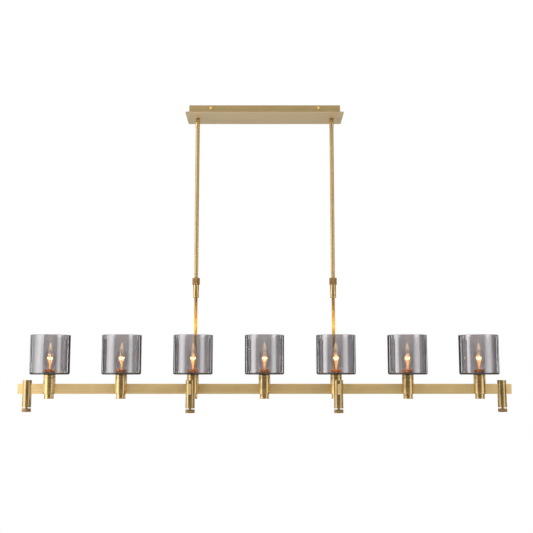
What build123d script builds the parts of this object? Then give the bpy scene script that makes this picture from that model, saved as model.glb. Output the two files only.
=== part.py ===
from build123d import *
import os

# Linear chandelier that hangs from the ceiling, in millimetres, +Z up.
# X runs along the lamp row, -Y is the front, and the origin is the centre of the ceiling bracket's
# two bolt slots, on the ceiling plane.

# Ceiling bracket
bracket_thickness = 2.0
strap_width = 34.0
strap_overhang = 10.0
arm_inset = 45.0
arm_width = 24.0
ear_drop = 17.0
bolt_spacing = 88.9
bolt_slot_length = 14.0
bolt_slot_width = 4.8
supply_hole_diameter = 24.0
ground_screw_x = 92.0

# Canopy
plate_end_reach = 35.0
plate_depth = 126.0
plate_thickness = 2.5
tray_inset = 11.0
tray_height = 24.0
tray_wall = 1.2
tray_corner = 2.0

# Side screws and the ground screw
screw_drop = 9.0
screw_diameter = 4.0
screw_length = 9.0
screw_head_diameter = 9.0
screw_head_height = 2.6
screw_head_round = 1.5
ground_head_height = 3.0

# Knuckles under the canopy
knuckle_diameter = 12.9
fork_base = 2.0
fork_crown_room = 5.4
tongue_thickness = 8.0
tongue_crown_radius = 4.9
sleeve_diameter = 13.4
sleeve_height = 16.6
spigot_length = 12.0
wire_bore = 5.0
pivot_diameter = 3.0
stud_diameter = 10.0
stud_bore = 6.0
stud_length = 12.0
nut_across_flats = 14.0
nut_height = 4.0

# Upper rods, with the knurled collars and ferrules that lock the height
rod_diameter = 12.7
rod_bore = 10.5
rod_exposed = 487.0
rod_in_ferrule = 22.0
collar_diameter = 23.5
collar_height = 21.0
ferrule_diameter = 18.5
ferrule_height = 41.0
nose_diameter = 16.4
nose_height = 12.0
ferrule_lip = 4.0
collet_slit = 1.5

# Lower stems
stem_diameter = 10.0
stem_bore = 7.0
stem_exposed = 252.2
stem_rise_travel = 200.0
stem_top_margin = 6.0
socket_diameter = 17.0
socket_rise = 14.0

# Bars
bar_end_reach = 94.0
bar_height = 30.0
bar_thickness = 8.0
bar_wall = 1.2
bar_end_plate = 1.5
bar_plug_length = 6.0
arm_reach = 82.0
arm_overhang = 28.0

# Posts and thumb knobs
post_diameter = 26.5
post_rise = 11.0
post_drop = 39.7
end_post_inset = 28.0
knob_diameter = 27.0
knob_height = 10.0
knob_gap = 3.4
knob_screw_diameter = 6.0

# Lamps
lamp_count = 7
lamp_pitch = 215.0
body_diameter = 35.0
body_rise = 26.6
body_wall = 3.0
body_web = 3.0
web_rise = 6.0
seat_height = 3.0
neck_diameter = 27.6
neck_height = 12.0
cap_diameter = 28.0
cap_height = 14.4
lamp_bolt_diameter = 3.0
lamp_bolt_head_diameter = 5.4
lamp_bolt_head_height = 2.0
lamp_bolt_grip = 10.0

# Glass shades, with their gaskets and rings
shade_diameter = 118.0
shade_height = 118.0
shade_wall = 3.0
shade_corner = 5.5
rim_round = 1.2
gasket_thickness = 0.8
gasket_diameter = 33.0
ring_diameter = 32.0
ring_height = 12.0
ring_mouth_diameter = 22.4

# Lamp holders and bulbs
holder_diameter = 21.6
holder_height = 24.0
holder_bore = 12.2
holder_floor = 3.5
bulb_base_diameter = 11.8
bulb_base_length = 19.0
bulb_contact_diameter = 4.0
bulb_contact_height = 1.0
bulb_diameter = 32.0
bulb_glass_length = 84.0
bulb_belly_height = 36.0
bulb_taper_diameter = 14.2
bulb_taper_height = 68.0
bulb_tip_diameter = 3.4
bulb_neck_diameter = 11.4
bulb_neck_flare = 0.12
bulb_tip_lean = 0.04
bulb_wall = 0.8
mount_diameter = 4.6
mount_height = 26.0
filament_height = 40.0
filament_span = 10.0
filament_diameter = 1.4
support_diameter = 0.7

# Wiring
conductor_diameter = 1.0
conductor_offset = 2.1
riser_offset = 6.5
riser_hole_diameter = 5.4
stem_wire_offset = 1.2
cross_wire_drop = 7.0
lead_diameter = 3.2
lead_bend = 7.0
lead_end_x = 42.0
lead_offset = 9.0
connector_diameter = 11.0
connector_tip_diameter = 6.0
connector_length = 22.0
connector_grip = 12.0

# Clearances
slide_clearance = 0.06
thread_clearance = 0.05
seat_gap = 0.3
slot_clearance = 0.1
edge_break = 0.6
knob_edge_break = 1.0
round_share = 0.45
level_tolerance = 0.01

# Heights along the hanging line
plate_bottom = -tray_height - plate_thickness
fork_bottom_room = knuckle_diameter / 2
pivot_z = plate_bottom - fork_base - fork_crown_room
sleeve_top = pivot_z - fork_bottom_room - seat_gap
sleeve_bottom = sleeve_top - sleeve_height
spigot_bottom = sleeve_bottom - spigot_length
collar_top = sleeve_bottom - rod_exposed
collar_bottom = collar_top - collar_height
ferrule_top = collar_bottom - seat_gap
ferrule_bottom = ferrule_top - ferrule_height
rod_bottom = ferrule_top - rod_in_ferrule
socket_top = ferrule_bottom - stem_exposed
bar_top = socket_top - socket_rise
bar_bottom = bar_top - bar_height
lap_z = bar_top - bar_height / 2
stem_top = spigot_bottom - stem_top_margin - stem_rise_travel
stem_bottom = bar_top + slot_clearance

# Heights in each lamp
body_top = bar_top + body_rise
web_bottom = bar_top + web_rise
web_top = web_bottom + body_web
holder_bottom = web_top + seat_height
holder_top = holder_bottom + holder_height
shade_bottom = body_top + gasket_thickness
shade_floor = shade_bottom + shade_wall
shade_top = shade_bottom + shade_height
cap_bottom = bar_bottom - cap_height
bulb_base_bottom = holder_bottom + holder_floor + bulb_contact_height + seat_gap
bulb_base_top = bulb_base_bottom + bulb_base_length

# Places along the row and across it
stem_x = lamp_pitch
row_y = -arm_reach
front_post_y = row_y - arm_reach
bar_length = (lamp_count - 1) * lamp_pitch + 2 * bar_end_reach
end_post_x = bar_length / 2 - end_post_inset
lamp_xs = [(index - (lamp_count - 1) / 2) * lamp_pitch for index in range(lamp_count)]
sides = {"left": -1, "right": 1}
bar_inner_thickness = bar_thickness - 2 * bar_wall

# Canopy and bracket round the two stems
plate_length = 2 * (stem_x + plate_end_reach)
tray_length = plate_length - 2 * tray_inset
tray_depth = plate_depth - 2 * tray_inset
arm_x = stem_x - arm_inset
strap_length = 2 * arm_x + arm_width + 2 * strap_overhang


def round_bar(radius, low, high, x=0.0, y=0.0):
    """Upright cylinder between two heights."""
    return Pos(x, y, (low + high) / 2) * Cylinder(radius, high - low)


def block(x_low, x_high, y_low, y_high, z_low, z_high):
    """Box between two corners."""
    middle = Pos((x_low + x_high) / 2, (y_low + y_high) / 2, (z_low + z_high) / 2)
    return middle * Box(x_high - x_low, y_high - y_low, z_high - z_low)


def tube(outer, inner, low, high, x=0.0, y=0.0):
    """Upright tube between two heights."""
    return round_bar(outer, low, high, x, y) - round_bar(inner, low, high, x, y)


def break_round_edges(solid, heights, size):
    """Chamfer the outermost round edge at each of the given heights."""
    picked = []
    for height in heights:
        level = [edge for edge in solid.edges().filter_by(GeomType.CIRCLE)
                 if abs(edge.center().Z - height) < level_tolerance
                 and edge.bounding_box().size.Z < level_tolerance]
        if level:
            picked.append(max(level, key=lambda edge: edge.radius))
    return chamfer(picked, size)


def strand(points, bend, diameter):
    """Wire swept along straight runs that are joined by round bends."""
    path = FilletPolyline(*points, radius=bend)
    section = Plane(origin=path @ 0, z_dir=path % 0) * Circle(diameter / 2)
    return sweep(section, path=path)


def save(name, *solids):
    """Write one node as its separate solids."""
    flat = [solid for item in solids for solid in item.solids()]
    shape = flat[0] if len(flat) == 1 else Compound(children=flat)
    export_step(shape, "parts/" + name + ".step")


# Canopy and what hangs from the ceiling

def ceiling_bracket():
    """Long strap with two cross arms, whose ears turn down to take the side screws."""
    ear_face = tray_depth / 2 - tray_wall - seat_gap
    ear_back = ear_face - bracket_thickness
    strap = block(-strap_length / 2, strap_length / 2, -strap_width / 2, strap_width / 2,
                  -bracket_thickness, 0)
    for side in sides.values():
        arm_low = side * arm_x - arm_width / 2
        arm_high = side * arm_x + arm_width / 2
        strap += block(arm_low, arm_high, -ear_face, ear_face, -bracket_thickness, 0)
        for face in sides.values():
            inner, outer = sorted((face * ear_back, face * ear_face))
            ear = block(arm_low, arm_high, inner, outer, -ear_drop, 0)
            hole = Pos(side * arm_x, face * ear_back, -screw_drop) * Rot(90, 0, 0) * Cylinder(
                screw_diameter / 2 + thread_clearance, 4 * bracket_thickness)
            strap += ear
            strap -= hole
        slot = SlotOverall(bolt_slot_length, bolt_slot_width)
        strap -= Pos(side * bolt_spacing / 2, 0, -bracket_thickness) * extrude(slot, bracket_thickness)
    strap -= round_bar(supply_hole_diameter / 2, -bracket_thickness, 0)
    strap -= round_bar(screw_diameter / 2 + thread_clearance, -bracket_thickness, 0, ground_screw_x)
    return strap


def canopy_tray():
    """Shallow tray, open towards the ceiling."""
    outside = block(-tray_length / 2, tray_length / 2, -tray_depth / 2, tray_depth / 2, -tray_height, 0)
    outside = fillet(outside.edges().filter_by(Axis.Z), tray_corner)
    hollow = block(-tray_length / 2 + tray_wall, tray_length / 2 - tray_wall,
                   -tray_depth / 2 + tray_wall, tray_depth / 2 - tray_wall,
                   -tray_height + tray_wall, tray_wall)
    hollow = fillet(hollow.edges().filter_by(Axis.Z), max(tray_corner - tray_wall, tray_wall / 2))
    tray = outside - hollow
    for side in sides.values():
        tray -= round_bar(stud_diameter / 2 + slot_clearance, -2 * tray_height, 0, side * stem_x)
        drill = Cylinder(screw_diameter / 2 + slot_clearance, 2 * tray_depth)
        tray -= Pos(side * arm_x, 0, -screw_drop) * Rot(90, 0, 0) * drill
    return tray


def canopy_plate():
    """Cover plate that stands out past the tray all round."""
    plate = block(-plate_length / 2, plate_length / 2, -plate_depth / 2, plate_depth / 2,
                  plate_bottom, -tray_height)
    plate = fillet(plate.edges().filter_by(Axis.Z), tray_corner)
    plate = chamfer(plate.faces().sort_by(Axis.Z)[0].edges(), edge_break / 2)
    for side in sides.values():
        plate -= round_bar(stud_diameter / 2 + slot_clearance, 2 * plate_bottom, 0, side * stem_x)
    return plate


def round_head_screw(head_height, length):
    """Screw along Z with its head's seat at zero and its shank downwards."""
    head = Cylinder(screw_head_diameter / 2, head_height)
    head = Pos(0, 0, head_height / 2) * head
    head = fillet(head.edges().sort_by(Axis.Z)[-1], screw_head_round)
    driver = Pos(0, 0, head_height) * Box(screw_head_diameter, edge_break, head_height)
    shank = Pos(0, 0, -length / 2) * Cylinder(screw_diameter / 2, length)
    return head - driver + shank


def canopy_screws():
    """Four side screws that hold the canopy to the bracket's ears."""
    screws = []
    for side in sides.values():
        for face in sides.values():
            place = Pos(side * arm_x, face * tray_depth / 2, -screw_drop)
            screws.append(place * Rot(-90 * face, 0, 0) * round_head_screw(screw_head_height, screw_length))
    return screws


def ground_screw():
    """Earthing screw under the strap."""
    turned_over = Pos(ground_screw_x, 0, -bracket_thickness) * Rot(180, 0, 0)
    return turned_over * round_head_screw(ground_head_height, bracket_thickness)


def knuckle_fork(side):
    """Upper half of the knuckle: a hollow stud above, two rounded ears below."""
    radius = knuckle_diameter / 2
    ears = round_bar(radius, pivot_z, plate_bottom)
    lower = round_bar(radius, pivot_z - radius, pivot_z) & (
        Pos(0, 0, pivot_z) * Rot(0, 90, 0) * Cylinder(radius, knuckle_diameter))
    fork = ears + lower
    room = tongue_thickness / 2 + seat_gap / 2
    fork -= block(-room, room, -knuckle_diameter, knuckle_diameter,
                  pivot_z - knuckle_diameter, pivot_z + fork_crown_room)
    fork += round_bar(stud_diameter / 2, plate_bottom, plate_bottom + stud_length)
    fork -= round_bar(stud_bore / 2, pivot_z, plate_bottom + stud_length)
    fork -= Pos(0, 0, pivot_z) * Rot(0, 90, 0) * Cylinder(pivot_diameter / 2, 2 * knuckle_diameter)
    return Pos(side * stem_x, 0, 0) * fork


def fork_nuts():
    """Hexagon nuts that clamp tray and plate to the forks' studs."""
    low = -tray_height + tray_wall
    nuts = []
    for side in sides.values():
        hexagon = extrude(RegularPolygon(nut_across_flats / 2, 6, major_radius=False), nut_height)
        nut = Pos(side * stem_x, 0, low) * hexagon
        nuts.append(nut - round_bar(stud_diameter / 2 + thread_clearance, low, 0, side * stem_x))
    return nuts


def knuckle_pivots():
    """Two short pivot pins in each knuckle, which leave its bore open for the wires."""
    inner = wire_bore / 2 + seat_gap
    outer = knuckle_diameter / 2 - seat_gap
    pins = []
    for side in sides.values():
        for hand in sides.values():
            pin = Rot(0, 90, 0) * Cylinder(pivot_diameter / 2, outer - inner)
            pins.append(Pos(side * stem_x + hand * (inner + outer) / 2, 0, pivot_z) * pin)
    return pins


def canopy_leads():
    """Sheathed leads from the two studs to the connectors."""
    run_z = -tray_height / 2
    leads = []
    for side in sides.values():
        start = (side * stem_x, 0, plate_bottom + stud_length - lead_diameter)
        above = (side * stem_x, 0, run_z)
        turn = (side * (stem_x - 2 * lead_bend), side * lead_offset, run_z)
        end = (side * lead_end_x, side * lead_offset, run_z)
        leads.append(strand([start, above, turn, end], lead_bend / 2, lead_diameter))
    return leads


def wire_connectors():
    """Twist-on connectors on the leads' ends, whose mouths also take the supply's own wires."""
    connectors = []
    for side in sides.values():
        cone = Cone(connector_tip_diameter / 2, connector_diameter / 2, connector_length)
        bore = Cylinder(lead_diameter / 2 + thread_clearance, connector_grip)
        bore = Pos(0, 0, (connector_length - connector_grip) / 2) * bore
        place = Pos(side * (lead_end_x + connector_grip - connector_length / 2), side * lead_offset,
                    -tray_height / 2)
        connectors.append(place * Rot(0, 90 * side, 0) * (cone - bore))
    return connectors


# Upper stems

def knuckle_tongue(side):
    """Lower half of the knuckle, with a sleeve and a spigot that enters the rod."""
    crown = Pos(0, 0, pivot_z) * Rot(0, 90, 0) * Cylinder(tongue_crown_radius, tongue_thickness)
    blade = block(-tongue_thickness / 2, tongue_thickness / 2, -tongue_crown_radius, tongue_crown_radius,
                  sleeve_top, pivot_z)
    sleeve = round_bar(sleeve_diameter / 2, sleeve_bottom, sleeve_top)
    spigot = round_bar(rod_bore / 2 - slot_clearance, spigot_bottom, sleeve_bottom)
    tongue = crown + blade + sleeve + spigot
    tongue -= round_bar(wire_bore / 2, spigot_bottom, pivot_z + knuckle_diameter)
    hole = Cylinder(pivot_diameter / 2 + slide_clearance, 2 * knuckle_diameter)
    tongue -= Pos(0, 0, pivot_z) * Rot(0, 90, 0) * hole
    return Pos(side * stem_x, 0, 0) * tongue


def upper_rod(side):
    """Straight tube that hangs from the knuckle."""
    return tube(rod_diameter / 2, rod_bore / 2, rod_bottom, sleeve_bottom, side * stem_x)


def ferrule(side):
    """Turned sleeve under the collar, with a threaded nose that the collar turns on."""
    nose_radius = nose_diameter / 2
    outer = round_bar(ferrule_diameter / 2, ferrule_bottom, ferrule_top)
    outer = break_round_edges(outer, [ferrule_bottom, ferrule_top], edge_break)
    outer += round_bar(nose_radius, ferrule_top, ferrule_top + nose_height)
    outer -= round_bar(rod_diameter / 2 + thread_clearance, ferrule_bottom + ferrule_lip,
                       ferrule_top + nose_height)
    outer -= round_bar(stem_diameter / 2 + seat_gap, ferrule_bottom, ferrule_top)
    return Pos(side * stem_x, 0, 0) * outer


def stem_collets():
    """Split gripping rings inside the ferrules, round the lower stems."""
    collets = []
    for side in sides.values():
        low = ferrule_bottom + ferrule_lip
        ring = tube(rod_diameter / 2, stem_diameter / 2 + slide_clearance, low, rod_bottom, side * stem_x)
        slit = block(side * stem_x, side * stem_x + ferrule_diameter, -collet_slit / 2, collet_slit / 2,
                     low, rod_bottom)
        collets.append(ring - slit)
    return collets


def collar(side):
    """Knurled collar that turns to lock the height."""
    body = round_bar(collar_diameter / 2, collar_bottom, collar_top)
    body = break_round_edges(body, [collar_bottom, collar_top], knob_edge_break)
    body -= round_bar(rod_diameter / 2 + slide_clearance, collar_bottom, collar_top)
    body -= round_bar(nose_diameter / 2 + slide_clearance, collar_bottom,
                      ferrule_top + nose_height + seat_gap)
    return Pos(side * stem_x, 0, 0) * body


# Light frame

def lower_stem(side):
    """Thin tube that telescopes into the upper rod."""
    return tube(stem_diameter / 2, stem_bore / 2, stem_bottom, stem_top, side * stem_x)


def stem_socket(side):
    """Slotted fitting that carries the cross bar under the stem."""
    body = round_bar(socket_diameter / 2, bar_bottom, socket_top)
    body = break_round_edges(body, [socket_top], edge_break)
    body -= round_bar(stem_diameter / 2 + thread_clearance, stem_bottom, socket_top)
    half = bar_thickness / 2 + slot_clearance
    body -= block(-half, half, -socket_diameter, socket_diameter, bar_bottom, stem_bottom)
    cross = Cylinder(lamp_bolt_diameter / 2 + thread_clearance, 2 * socket_diameter)
    body -= Pos(0, 0, lap_z) * Rot(0, 90, 0) * cross
    grub = Cylinder(screw_diameter / 2 + thread_clearance, socket_diameter)
    body -= Pos(0, socket_diameter / 2, (socket_top + bar_top) / 2) * Rot(90, 0, 0) * grub
    return Pos(side * stem_x, 0, 0) * body


def frame_screws():
    """Cross screws through stem sockets and bars, and the grub screws that hold the stems."""
    screws = []
    for side in sides.values():
        length = socket_diameter - 2 * seat_gap
        cross = Rot(0, 90, 0) * Cylinder(lamp_bolt_diameter / 2, length)
        screws.append(Pos(side * stem_x, 0, lap_z) * cross)
        reach = (socket_diameter - stem_diameter) / 2 - 2 * thread_clearance
        grub = Rot(90, 0, 0) * Cylinder(screw_diameter / 2, reach)
        place_y = stem_diameter / 2 + thread_clearance + reach / 2
        screws.append(Pos(side * stem_x, place_y, (socket_top + bar_top) / 2) * grub)
    return screws


def hollow_bar(length):
    """Rectangular tube along X, centred on the origin, with its top at the bar's height."""
    outside = block(-length / 2, length / 2, -bar_thickness / 2, bar_thickness / 2, bar_bottom, bar_top)
    inside = block(-length, length, -bar_inner_thickness / 2, bar_inner_thickness / 2,
                   bar_bottom + bar_wall, bar_top - bar_wall)
    return outside - inside


def bolt_hole(x, y):
    """Drill for a lamp bolt, right through the bars."""
    return round_bar(lamp_bolt_diameter / 2 + slot_clearance, 2 * bar_bottom, 0, x, y)


def main_bar():
    """Long bar, drilled at each lamp and notched from above where a cross bar laps it."""
    bar = hollow_bar(bar_length - 2 * bar_end_plate)
    half = bar_thickness / 2 + slot_clearance
    for x in lamp_xs:
        bar -= bolt_hole(x, 0)
        bar -= round_bar(riser_hole_diameter / 2, lap_z, bar_top, x + riser_offset)
    for side in sides.values():
        bar -= block(side * stem_x - half, side * stem_x + half, -bar_thickness, bar_thickness,
                     lap_z, bar_top)
    return Pos(0, row_y, 0) * bar


def cross_bar(side):
    """Short bar from front to back, notched from below over the long bar."""
    front = front_post_y - arm_overhang + bar_end_plate
    back = arm_overhang - bar_end_plate
    half = bar_thickness / 2 + slot_clearance
    bar = Rot(0, 0, 90) * hollow_bar(back - front)
    bar = Pos(0, (front + back) / 2, 0) * bar
    bar -= block(-bar_thickness, bar_thickness, row_y - half, row_y + half, bar_bottom, lap_z)
    bar -= bolt_hole(0, row_y)
    bar -= round_bar(riser_hole_diameter / 2, lap_z, bar_top)
    cross = Cylinder(lamp_bolt_diameter / 2 + thread_clearance, 2 * bar_thickness)
    bar -= Pos(0, 0, lap_z) * Rot(0, 90, 0) * cross
    return Pos(side * stem_x, 0, 0) * bar


def end_plug():
    """Bar end cap with a plug, for the end of a bar that runs towards +X and stops at zero."""
    plate = block(-bar_end_plate, 0, -bar_thickness / 2, bar_thickness / 2, bar_bottom, bar_top)
    plate = chamfer(plate.faces().sort_by(Axis.X)[-1].edges(), edge_break / 2)
    half = bar_inner_thickness / 2 - slot_clearance
    plug = block(-bar_end_plate - bar_plug_length, -bar_end_plate, -half, half,
                 bar_bottom + bar_wall + slot_clearance, bar_top - bar_wall - slot_clearance)
    return plate + plug


def bar_end_caps():
    """End caps of the long bar and of both cross bars."""
    caps = []
    for side in sides.values():
        turn = Rot(0, 0, 0 if side > 0 else 180)
        caps.append(Pos(side * bar_length / 2, row_y, 0) * turn * end_plug())
        caps.append(Pos(side * stem_x, front_post_y - arm_overhang, 0) * Rot(0, 0, -90) * end_plug())
        caps.append(Pos(side * stem_x, arm_overhang, 0) * Rot(0, 0, 90) * end_plug())
    return caps


def post(x, y, along_row):
    """Round post round a bar, bored from below for the thumb screw."""
    low = bar_bottom - post_drop
    high = bar_top + post_rise
    body = round_bar(post_diameter / 2, low, high)
    body = break_round_edges(body, [low, high], edge_break)
    half = bar_thickness / 2 + slot_clearance
    window = block(-post_diameter, post_diameter, -half, half,
                   bar_bottom - slot_clearance, bar_top + slot_clearance)
    body -= window if along_row else Rot(0, 0, 90) * window
    body -= round_bar(knob_screw_diameter / 2 + slide_clearance, low, bar_bottom)
    return Pos(x, y, 0) * body


def thumb_knob(x, y):
    """Knurled knob with its screw, whose tip ends just under the bar."""
    top = bar_bottom - post_drop - knob_gap
    low = top - knob_height
    disc = round_bar(knob_diameter / 2, low, top)
    disc = break_round_edges(disc, [low, top], knob_edge_break)
    disc += round_bar(knob_screw_diameter / 2, low + knob_height / 2, bar_bottom - seat_gap)
    return Pos(x, y, 0) * disc


post_places = {
    "end_left": (-end_post_x, row_y, True),
    "end_right": (end_post_x, row_y, True),
    "front_left": (-stem_x, front_post_y, False),
    "front_right": (stem_x, front_post_y, False),
}


# Lamps

def lamp_body(x, crossed):
    """Turned body that straddles the bar, with a seat for the holder and a neck for the shade."""
    body = round_bar(body_diameter / 2, bar_bottom, body_top)
    body = break_round_edges(body, [bar_bottom], edge_break / 2)
    body += round_bar(neck_diameter / 2, body_top, body_top + neck_height)
    body -= round_bar(holder_diameter / 2 + slot_clearance, holder_bottom, body_top + neck_height)
    body -= round_bar(holder_diameter / 2 - body_wall / 2, web_top, holder_bottom)
    body -= round_bar(body_diameter / 2 - body_wall, bar_bottom, web_bottom)
    body -= round_bar(lamp_bolt_diameter / 2 + slot_clearance, web_bottom, web_top)
    body -= round_bar(riser_hole_diameter / 2, web_bottom, web_top, riser_offset)
    half = bar_thickness / 2 + slot_clearance
    slot = block(-body_diameter, body_diameter, -half, half, bar_bottom, bar_top + slot_clearance)
    body -= slot
    if crossed:
        body -= Rot(0, 0, 90) * slot
    return Pos(x, row_y, 0) * body


def lamp_caps():
    """Round caps under the bar, which the lamp bolts screw into."""
    caps = []
    for x in lamp_xs:
        cap = round_bar(cap_diameter / 2, cap_bottom, bar_bottom)
        cap = break_round_edges(cap, [cap_bottom], edge_break)
        cap -= round_bar(lamp_bolt_diameter / 2 + thread_clearance, bar_bottom - lamp_bolt_grip, bar_bottom)
        caps.append(Pos(x, row_y, 0) * cap)
    return caps


def lamp_bolts():
    """Bolts that clamp body, bar and cap together."""
    bolts = []
    for x in lamp_xs:
        low = bar_bottom - lamp_bolt_grip + seat_gap
        bolt = round_bar(lamp_bolt_diameter / 2, low, web_top)
        bolt += round_bar(lamp_bolt_head_diameter / 2, web_top, web_top + lamp_bolt_head_height)
        bolts.append(Pos(x, row_y, 0) * bolt)
    return bolts


def shade(x):
    """Glass cup, open at the top, with a hole in its floor for the body's neck."""
    radius = shade_diameter / 2
    outside = round_bar(radius, shade_bottom, shade_top)
    low_edges = [edge for edge in outside.edges().filter_by(GeomType.CIRCLE)
                 if abs(edge.center().Z - shade_bottom) < level_tolerance]
    outside = fillet(low_edges, shade_corner)
    inside = round_bar(radius - shade_wall, shade_floor, shade_top + shade_wall)
    floor_edges = [edge for edge in inside.edges().filter_by(GeomType.CIRCLE)
                   if abs(edge.center().Z - shade_floor) < level_tolerance]
    inside = fillet(floor_edges, max(shade_corner - shade_wall, shade_wall / 2))
    cup = outside - inside
    cup -= round_bar(neck_diameter / 2 + seat_gap, shade_bottom, shade_floor)
    rim_edges = [edge for edge in cup.edges().filter_by(GeomType.CIRCLE)
                 if abs(edge.center().Z - shade_top) < level_tolerance]
    cup = fillet(rim_edges, min(rim_round, shade_wall * round_share))
    return Pos(x, row_y, 0) * cup


def shade_gaskets():
    """Soft rings between the bodies and the glass."""
    inner = neck_diameter / 2 + slot_clearance
    return [tube(gasket_diameter / 2, inner, body_top, shade_bottom, x, row_y) for x in lamp_xs]


def shade_rings():
    """Threaded rings inside the shades, which clamp the glass to the necks."""
    rings = []
    for x in lamp_xs:
        ring = round_bar(ring_diameter / 2, shade_floor, shade_floor + ring_height)
        ring = break_round_edges(ring, [shade_floor + ring_height], edge_break)
        ring -= round_bar(neck_diameter / 2 + thread_clearance, shade_floor, body_top + neck_height)
        ring -= round_bar(ring_mouth_diameter / 2, shade_floor, shade_floor + ring_height)
        rings.append(Pos(x, row_y, 0) * ring)
    return rings


def lamp_holders():
    """Candle lamp holders, seated in the bodies."""
    holders = []
    for x in lamp_xs:
        holder = round_bar(holder_diameter / 2, holder_bottom, holder_top)
        holder = break_round_edges(holder, [holder_top], edge_break)
        holder -= round_bar(holder_bore / 2, holder_bottom + holder_floor, holder_top)
        holders.append(Pos(x, row_y, 0) * holder)
    return holders


def bulb_bases():
    """Screw bases of the bulbs, each with its contact."""
    bases = []
    for x in lamp_xs:
        base = round_bar(bulb_base_diameter / 2, bulb_base_bottom, bulb_base_top)
        base = break_round_edges(base, [bulb_base_bottom], edge_break)
        base += round_bar(bulb_contact_diameter / 2, bulb_base_bottom - bulb_contact_height,
                          bulb_base_bottom)
        bases.append(Pos(x, row_y, 0) * base)
    return bases


def bulb_outline(shrink):
    """Half outline of the candle bulb's glass, drawn in by the given wall."""
    low = bulb_base_top + shrink
    high = bulb_base_top + bulb_glass_length - 2 * shrink
    neck = (bulb_neck_diameter / 2 - shrink, 0, low)
    widest = (bulb_diameter / 2 - shrink, 0, bulb_base_top + bulb_belly_height)
    taper = (bulb_taper_diameter / 2 - shrink, 0, bulb_base_top + bulb_taper_height)
    tip = (bulb_tip_diameter / 2 - shrink, 0, high)
    side = Spline(neck, widest, taper, tip, tangents=((bulb_neck_flare, 0, 1), (-bulb_tip_lean, 0, 1)))
    return [Line((0, 0, low), neck), side, Line(tip, (0, 0, high)), Line((0, 0, high), (0, 0, low))]


def bulb_glass():
    """Clear candle envelopes."""
    outer = revolve(make_face(bulb_outline(0)), Axis.Z, 360)
    inner = revolve(make_face(bulb_outline(bulb_wall)), Axis.Z, 360)
    mount_room = round_bar(mount_diameter / 2, bulb_base_top, bulb_base_top + bulb_wall)
    return [Pos(x, row_y, 0) * (outer - inner - mount_room) for x in lamp_xs]


def bulb_filaments():
    """Glass mount, support wires and filament inside each bulb."""
    filaments = []
    for x in lamp_xs:
        mount_top = bulb_base_top + mount_height
        glow = bulb_base_top + filament_height
        mount = round_bar(mount_diameter / 2 - thread_clearance, bulb_base_top, mount_top)
        mount = break_round_edges(mount, [mount_top], edge_break)
        for hand in sides.values():
            mount += round_bar(support_diameter / 2, mount_top - support_diameter, mount_top
                               + support_diameter, hand * mount_diameter / 4)
            foot = (hand * mount_diameter / 4, 0, mount_top + support_diameter / 2)
            top = (hand * filament_span / 2, 0, glow)
            wire = Line(foot, top)
            section = Plane(origin=foot, z_dir=wire % 0) * Circle(support_diameter / 2)
            mount += sweep(section, path=wire)
        coil = Pos(0, 0, glow) * Rot(0, 90, 0) * Cylinder(filament_diameter / 2, filament_span
                                                           + filament_diameter)
        filaments.append(Pos(x, row_y, 0) * (mount + coil))
    return filaments


# Wiring inside the stems and bars

def bar_wiring():
    """Two conductors through the long bar, with a riser to each lamp and a feed from each stem."""
    radius = conductor_diameter / 2
    low = bar_bottom + bar_wall + radius + slot_clearance
    high = holder_bottom - slot_clearance
    run_y = {1: row_y + conductor_offset, -1: row_y - conductor_offset}
    conductors = []
    for hand, y in run_y.items():
        length = lamp_xs[-1] - lamp_xs[0]
        middle = (lamp_xs[-1] + lamp_xs[0]) / 2 + riser_offset
        conductor = Pos(middle, y, low) * Rot(0, 90, 0) * Cylinder(radius, length + conductor_diameter)
        for x in lamp_xs:
            conductor += round_bar(radius, low, high, x + riser_offset, y)
        for side in sides.values():
            cross_x = side * stem_x + hand * conductor_offset
            entry_x = side * stem_x + hand * stem_wire_offset
            cross_z = bar_top - cross_wire_drop
            points = [(entry_x, 0, stem_top), (entry_x, 0, bar_top + socket_rise / 2),
                      (cross_x, 0, bar_top - bar_wall), (cross_x, 0, cross_z), (cross_x, y, cross_z),
                      (cross_x, y, low)]
            conductor += strand(points, conductor_diameter, conductor_diameter)
        conductors.append(conductor)
    return conductors


def build():
    """Build every node and write its file."""
    os.makedirs("parts", exist_ok=True)
    save("ceiling_bracket", ceiling_bracket())
    save("canopy_tray", canopy_tray())
    save("canopy_plate", canopy_plate())
    save("canopy_screws", *canopy_screws())
    save("ground_screw", ground_screw())
    save("fork_nuts", *fork_nuts())
    save("knuckle_pivots", *knuckle_pivots())
    save("canopy_leads", *canopy_leads())
    save("wire_connectors", *wire_connectors())
    for name, side in sides.items():
        save("knuckle_fork_" + name, knuckle_fork(side))
        save("knuckle_tongue_" + name, knuckle_tongue(side))
        save("upper_rod_" + name, upper_rod(side))
        save("collar_" + name, collar(side))
        save("ferrule_" + name, ferrule(side))
        save("lower_stem_" + name, lower_stem(side))
        save("stem_socket_" + name, stem_socket(side))
        save("cross_bar_" + name, cross_bar(side))
    save("stem_collets", *stem_collets())
    save("frame_screws", *frame_screws())
    save("main_bar", main_bar())
    save("bar_end_caps", *bar_end_caps())
    for name, (x, y, along_row) in post_places.items():
        save("post_" + name, post(x, y, along_row))
        save("knob_" + name, thumb_knob(x, y))
    for number, x in enumerate(lamp_xs, 1):
        crossed = abs(abs(x) - stem_x) < bar_thickness
        save("lamp_body_" + str(number), lamp_body(x, crossed))
        save("shade_" + str(number), shade(x))
    save("lamp_caps", *lamp_caps())
    save("lamp_bolts", *lamp_bolts())
    save("shade_gaskets", *shade_gaskets())
    save("shade_rings", *shade_rings())
    save("lamp_holders", *lamp_holders())
    save("bulb_bases", *bulb_bases())
    save("bulb_glass", *bulb_glass())
    save("bulb_filaments", *bulb_filaments())
    save("bar_wiring", *bar_wiring())


build()
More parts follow.
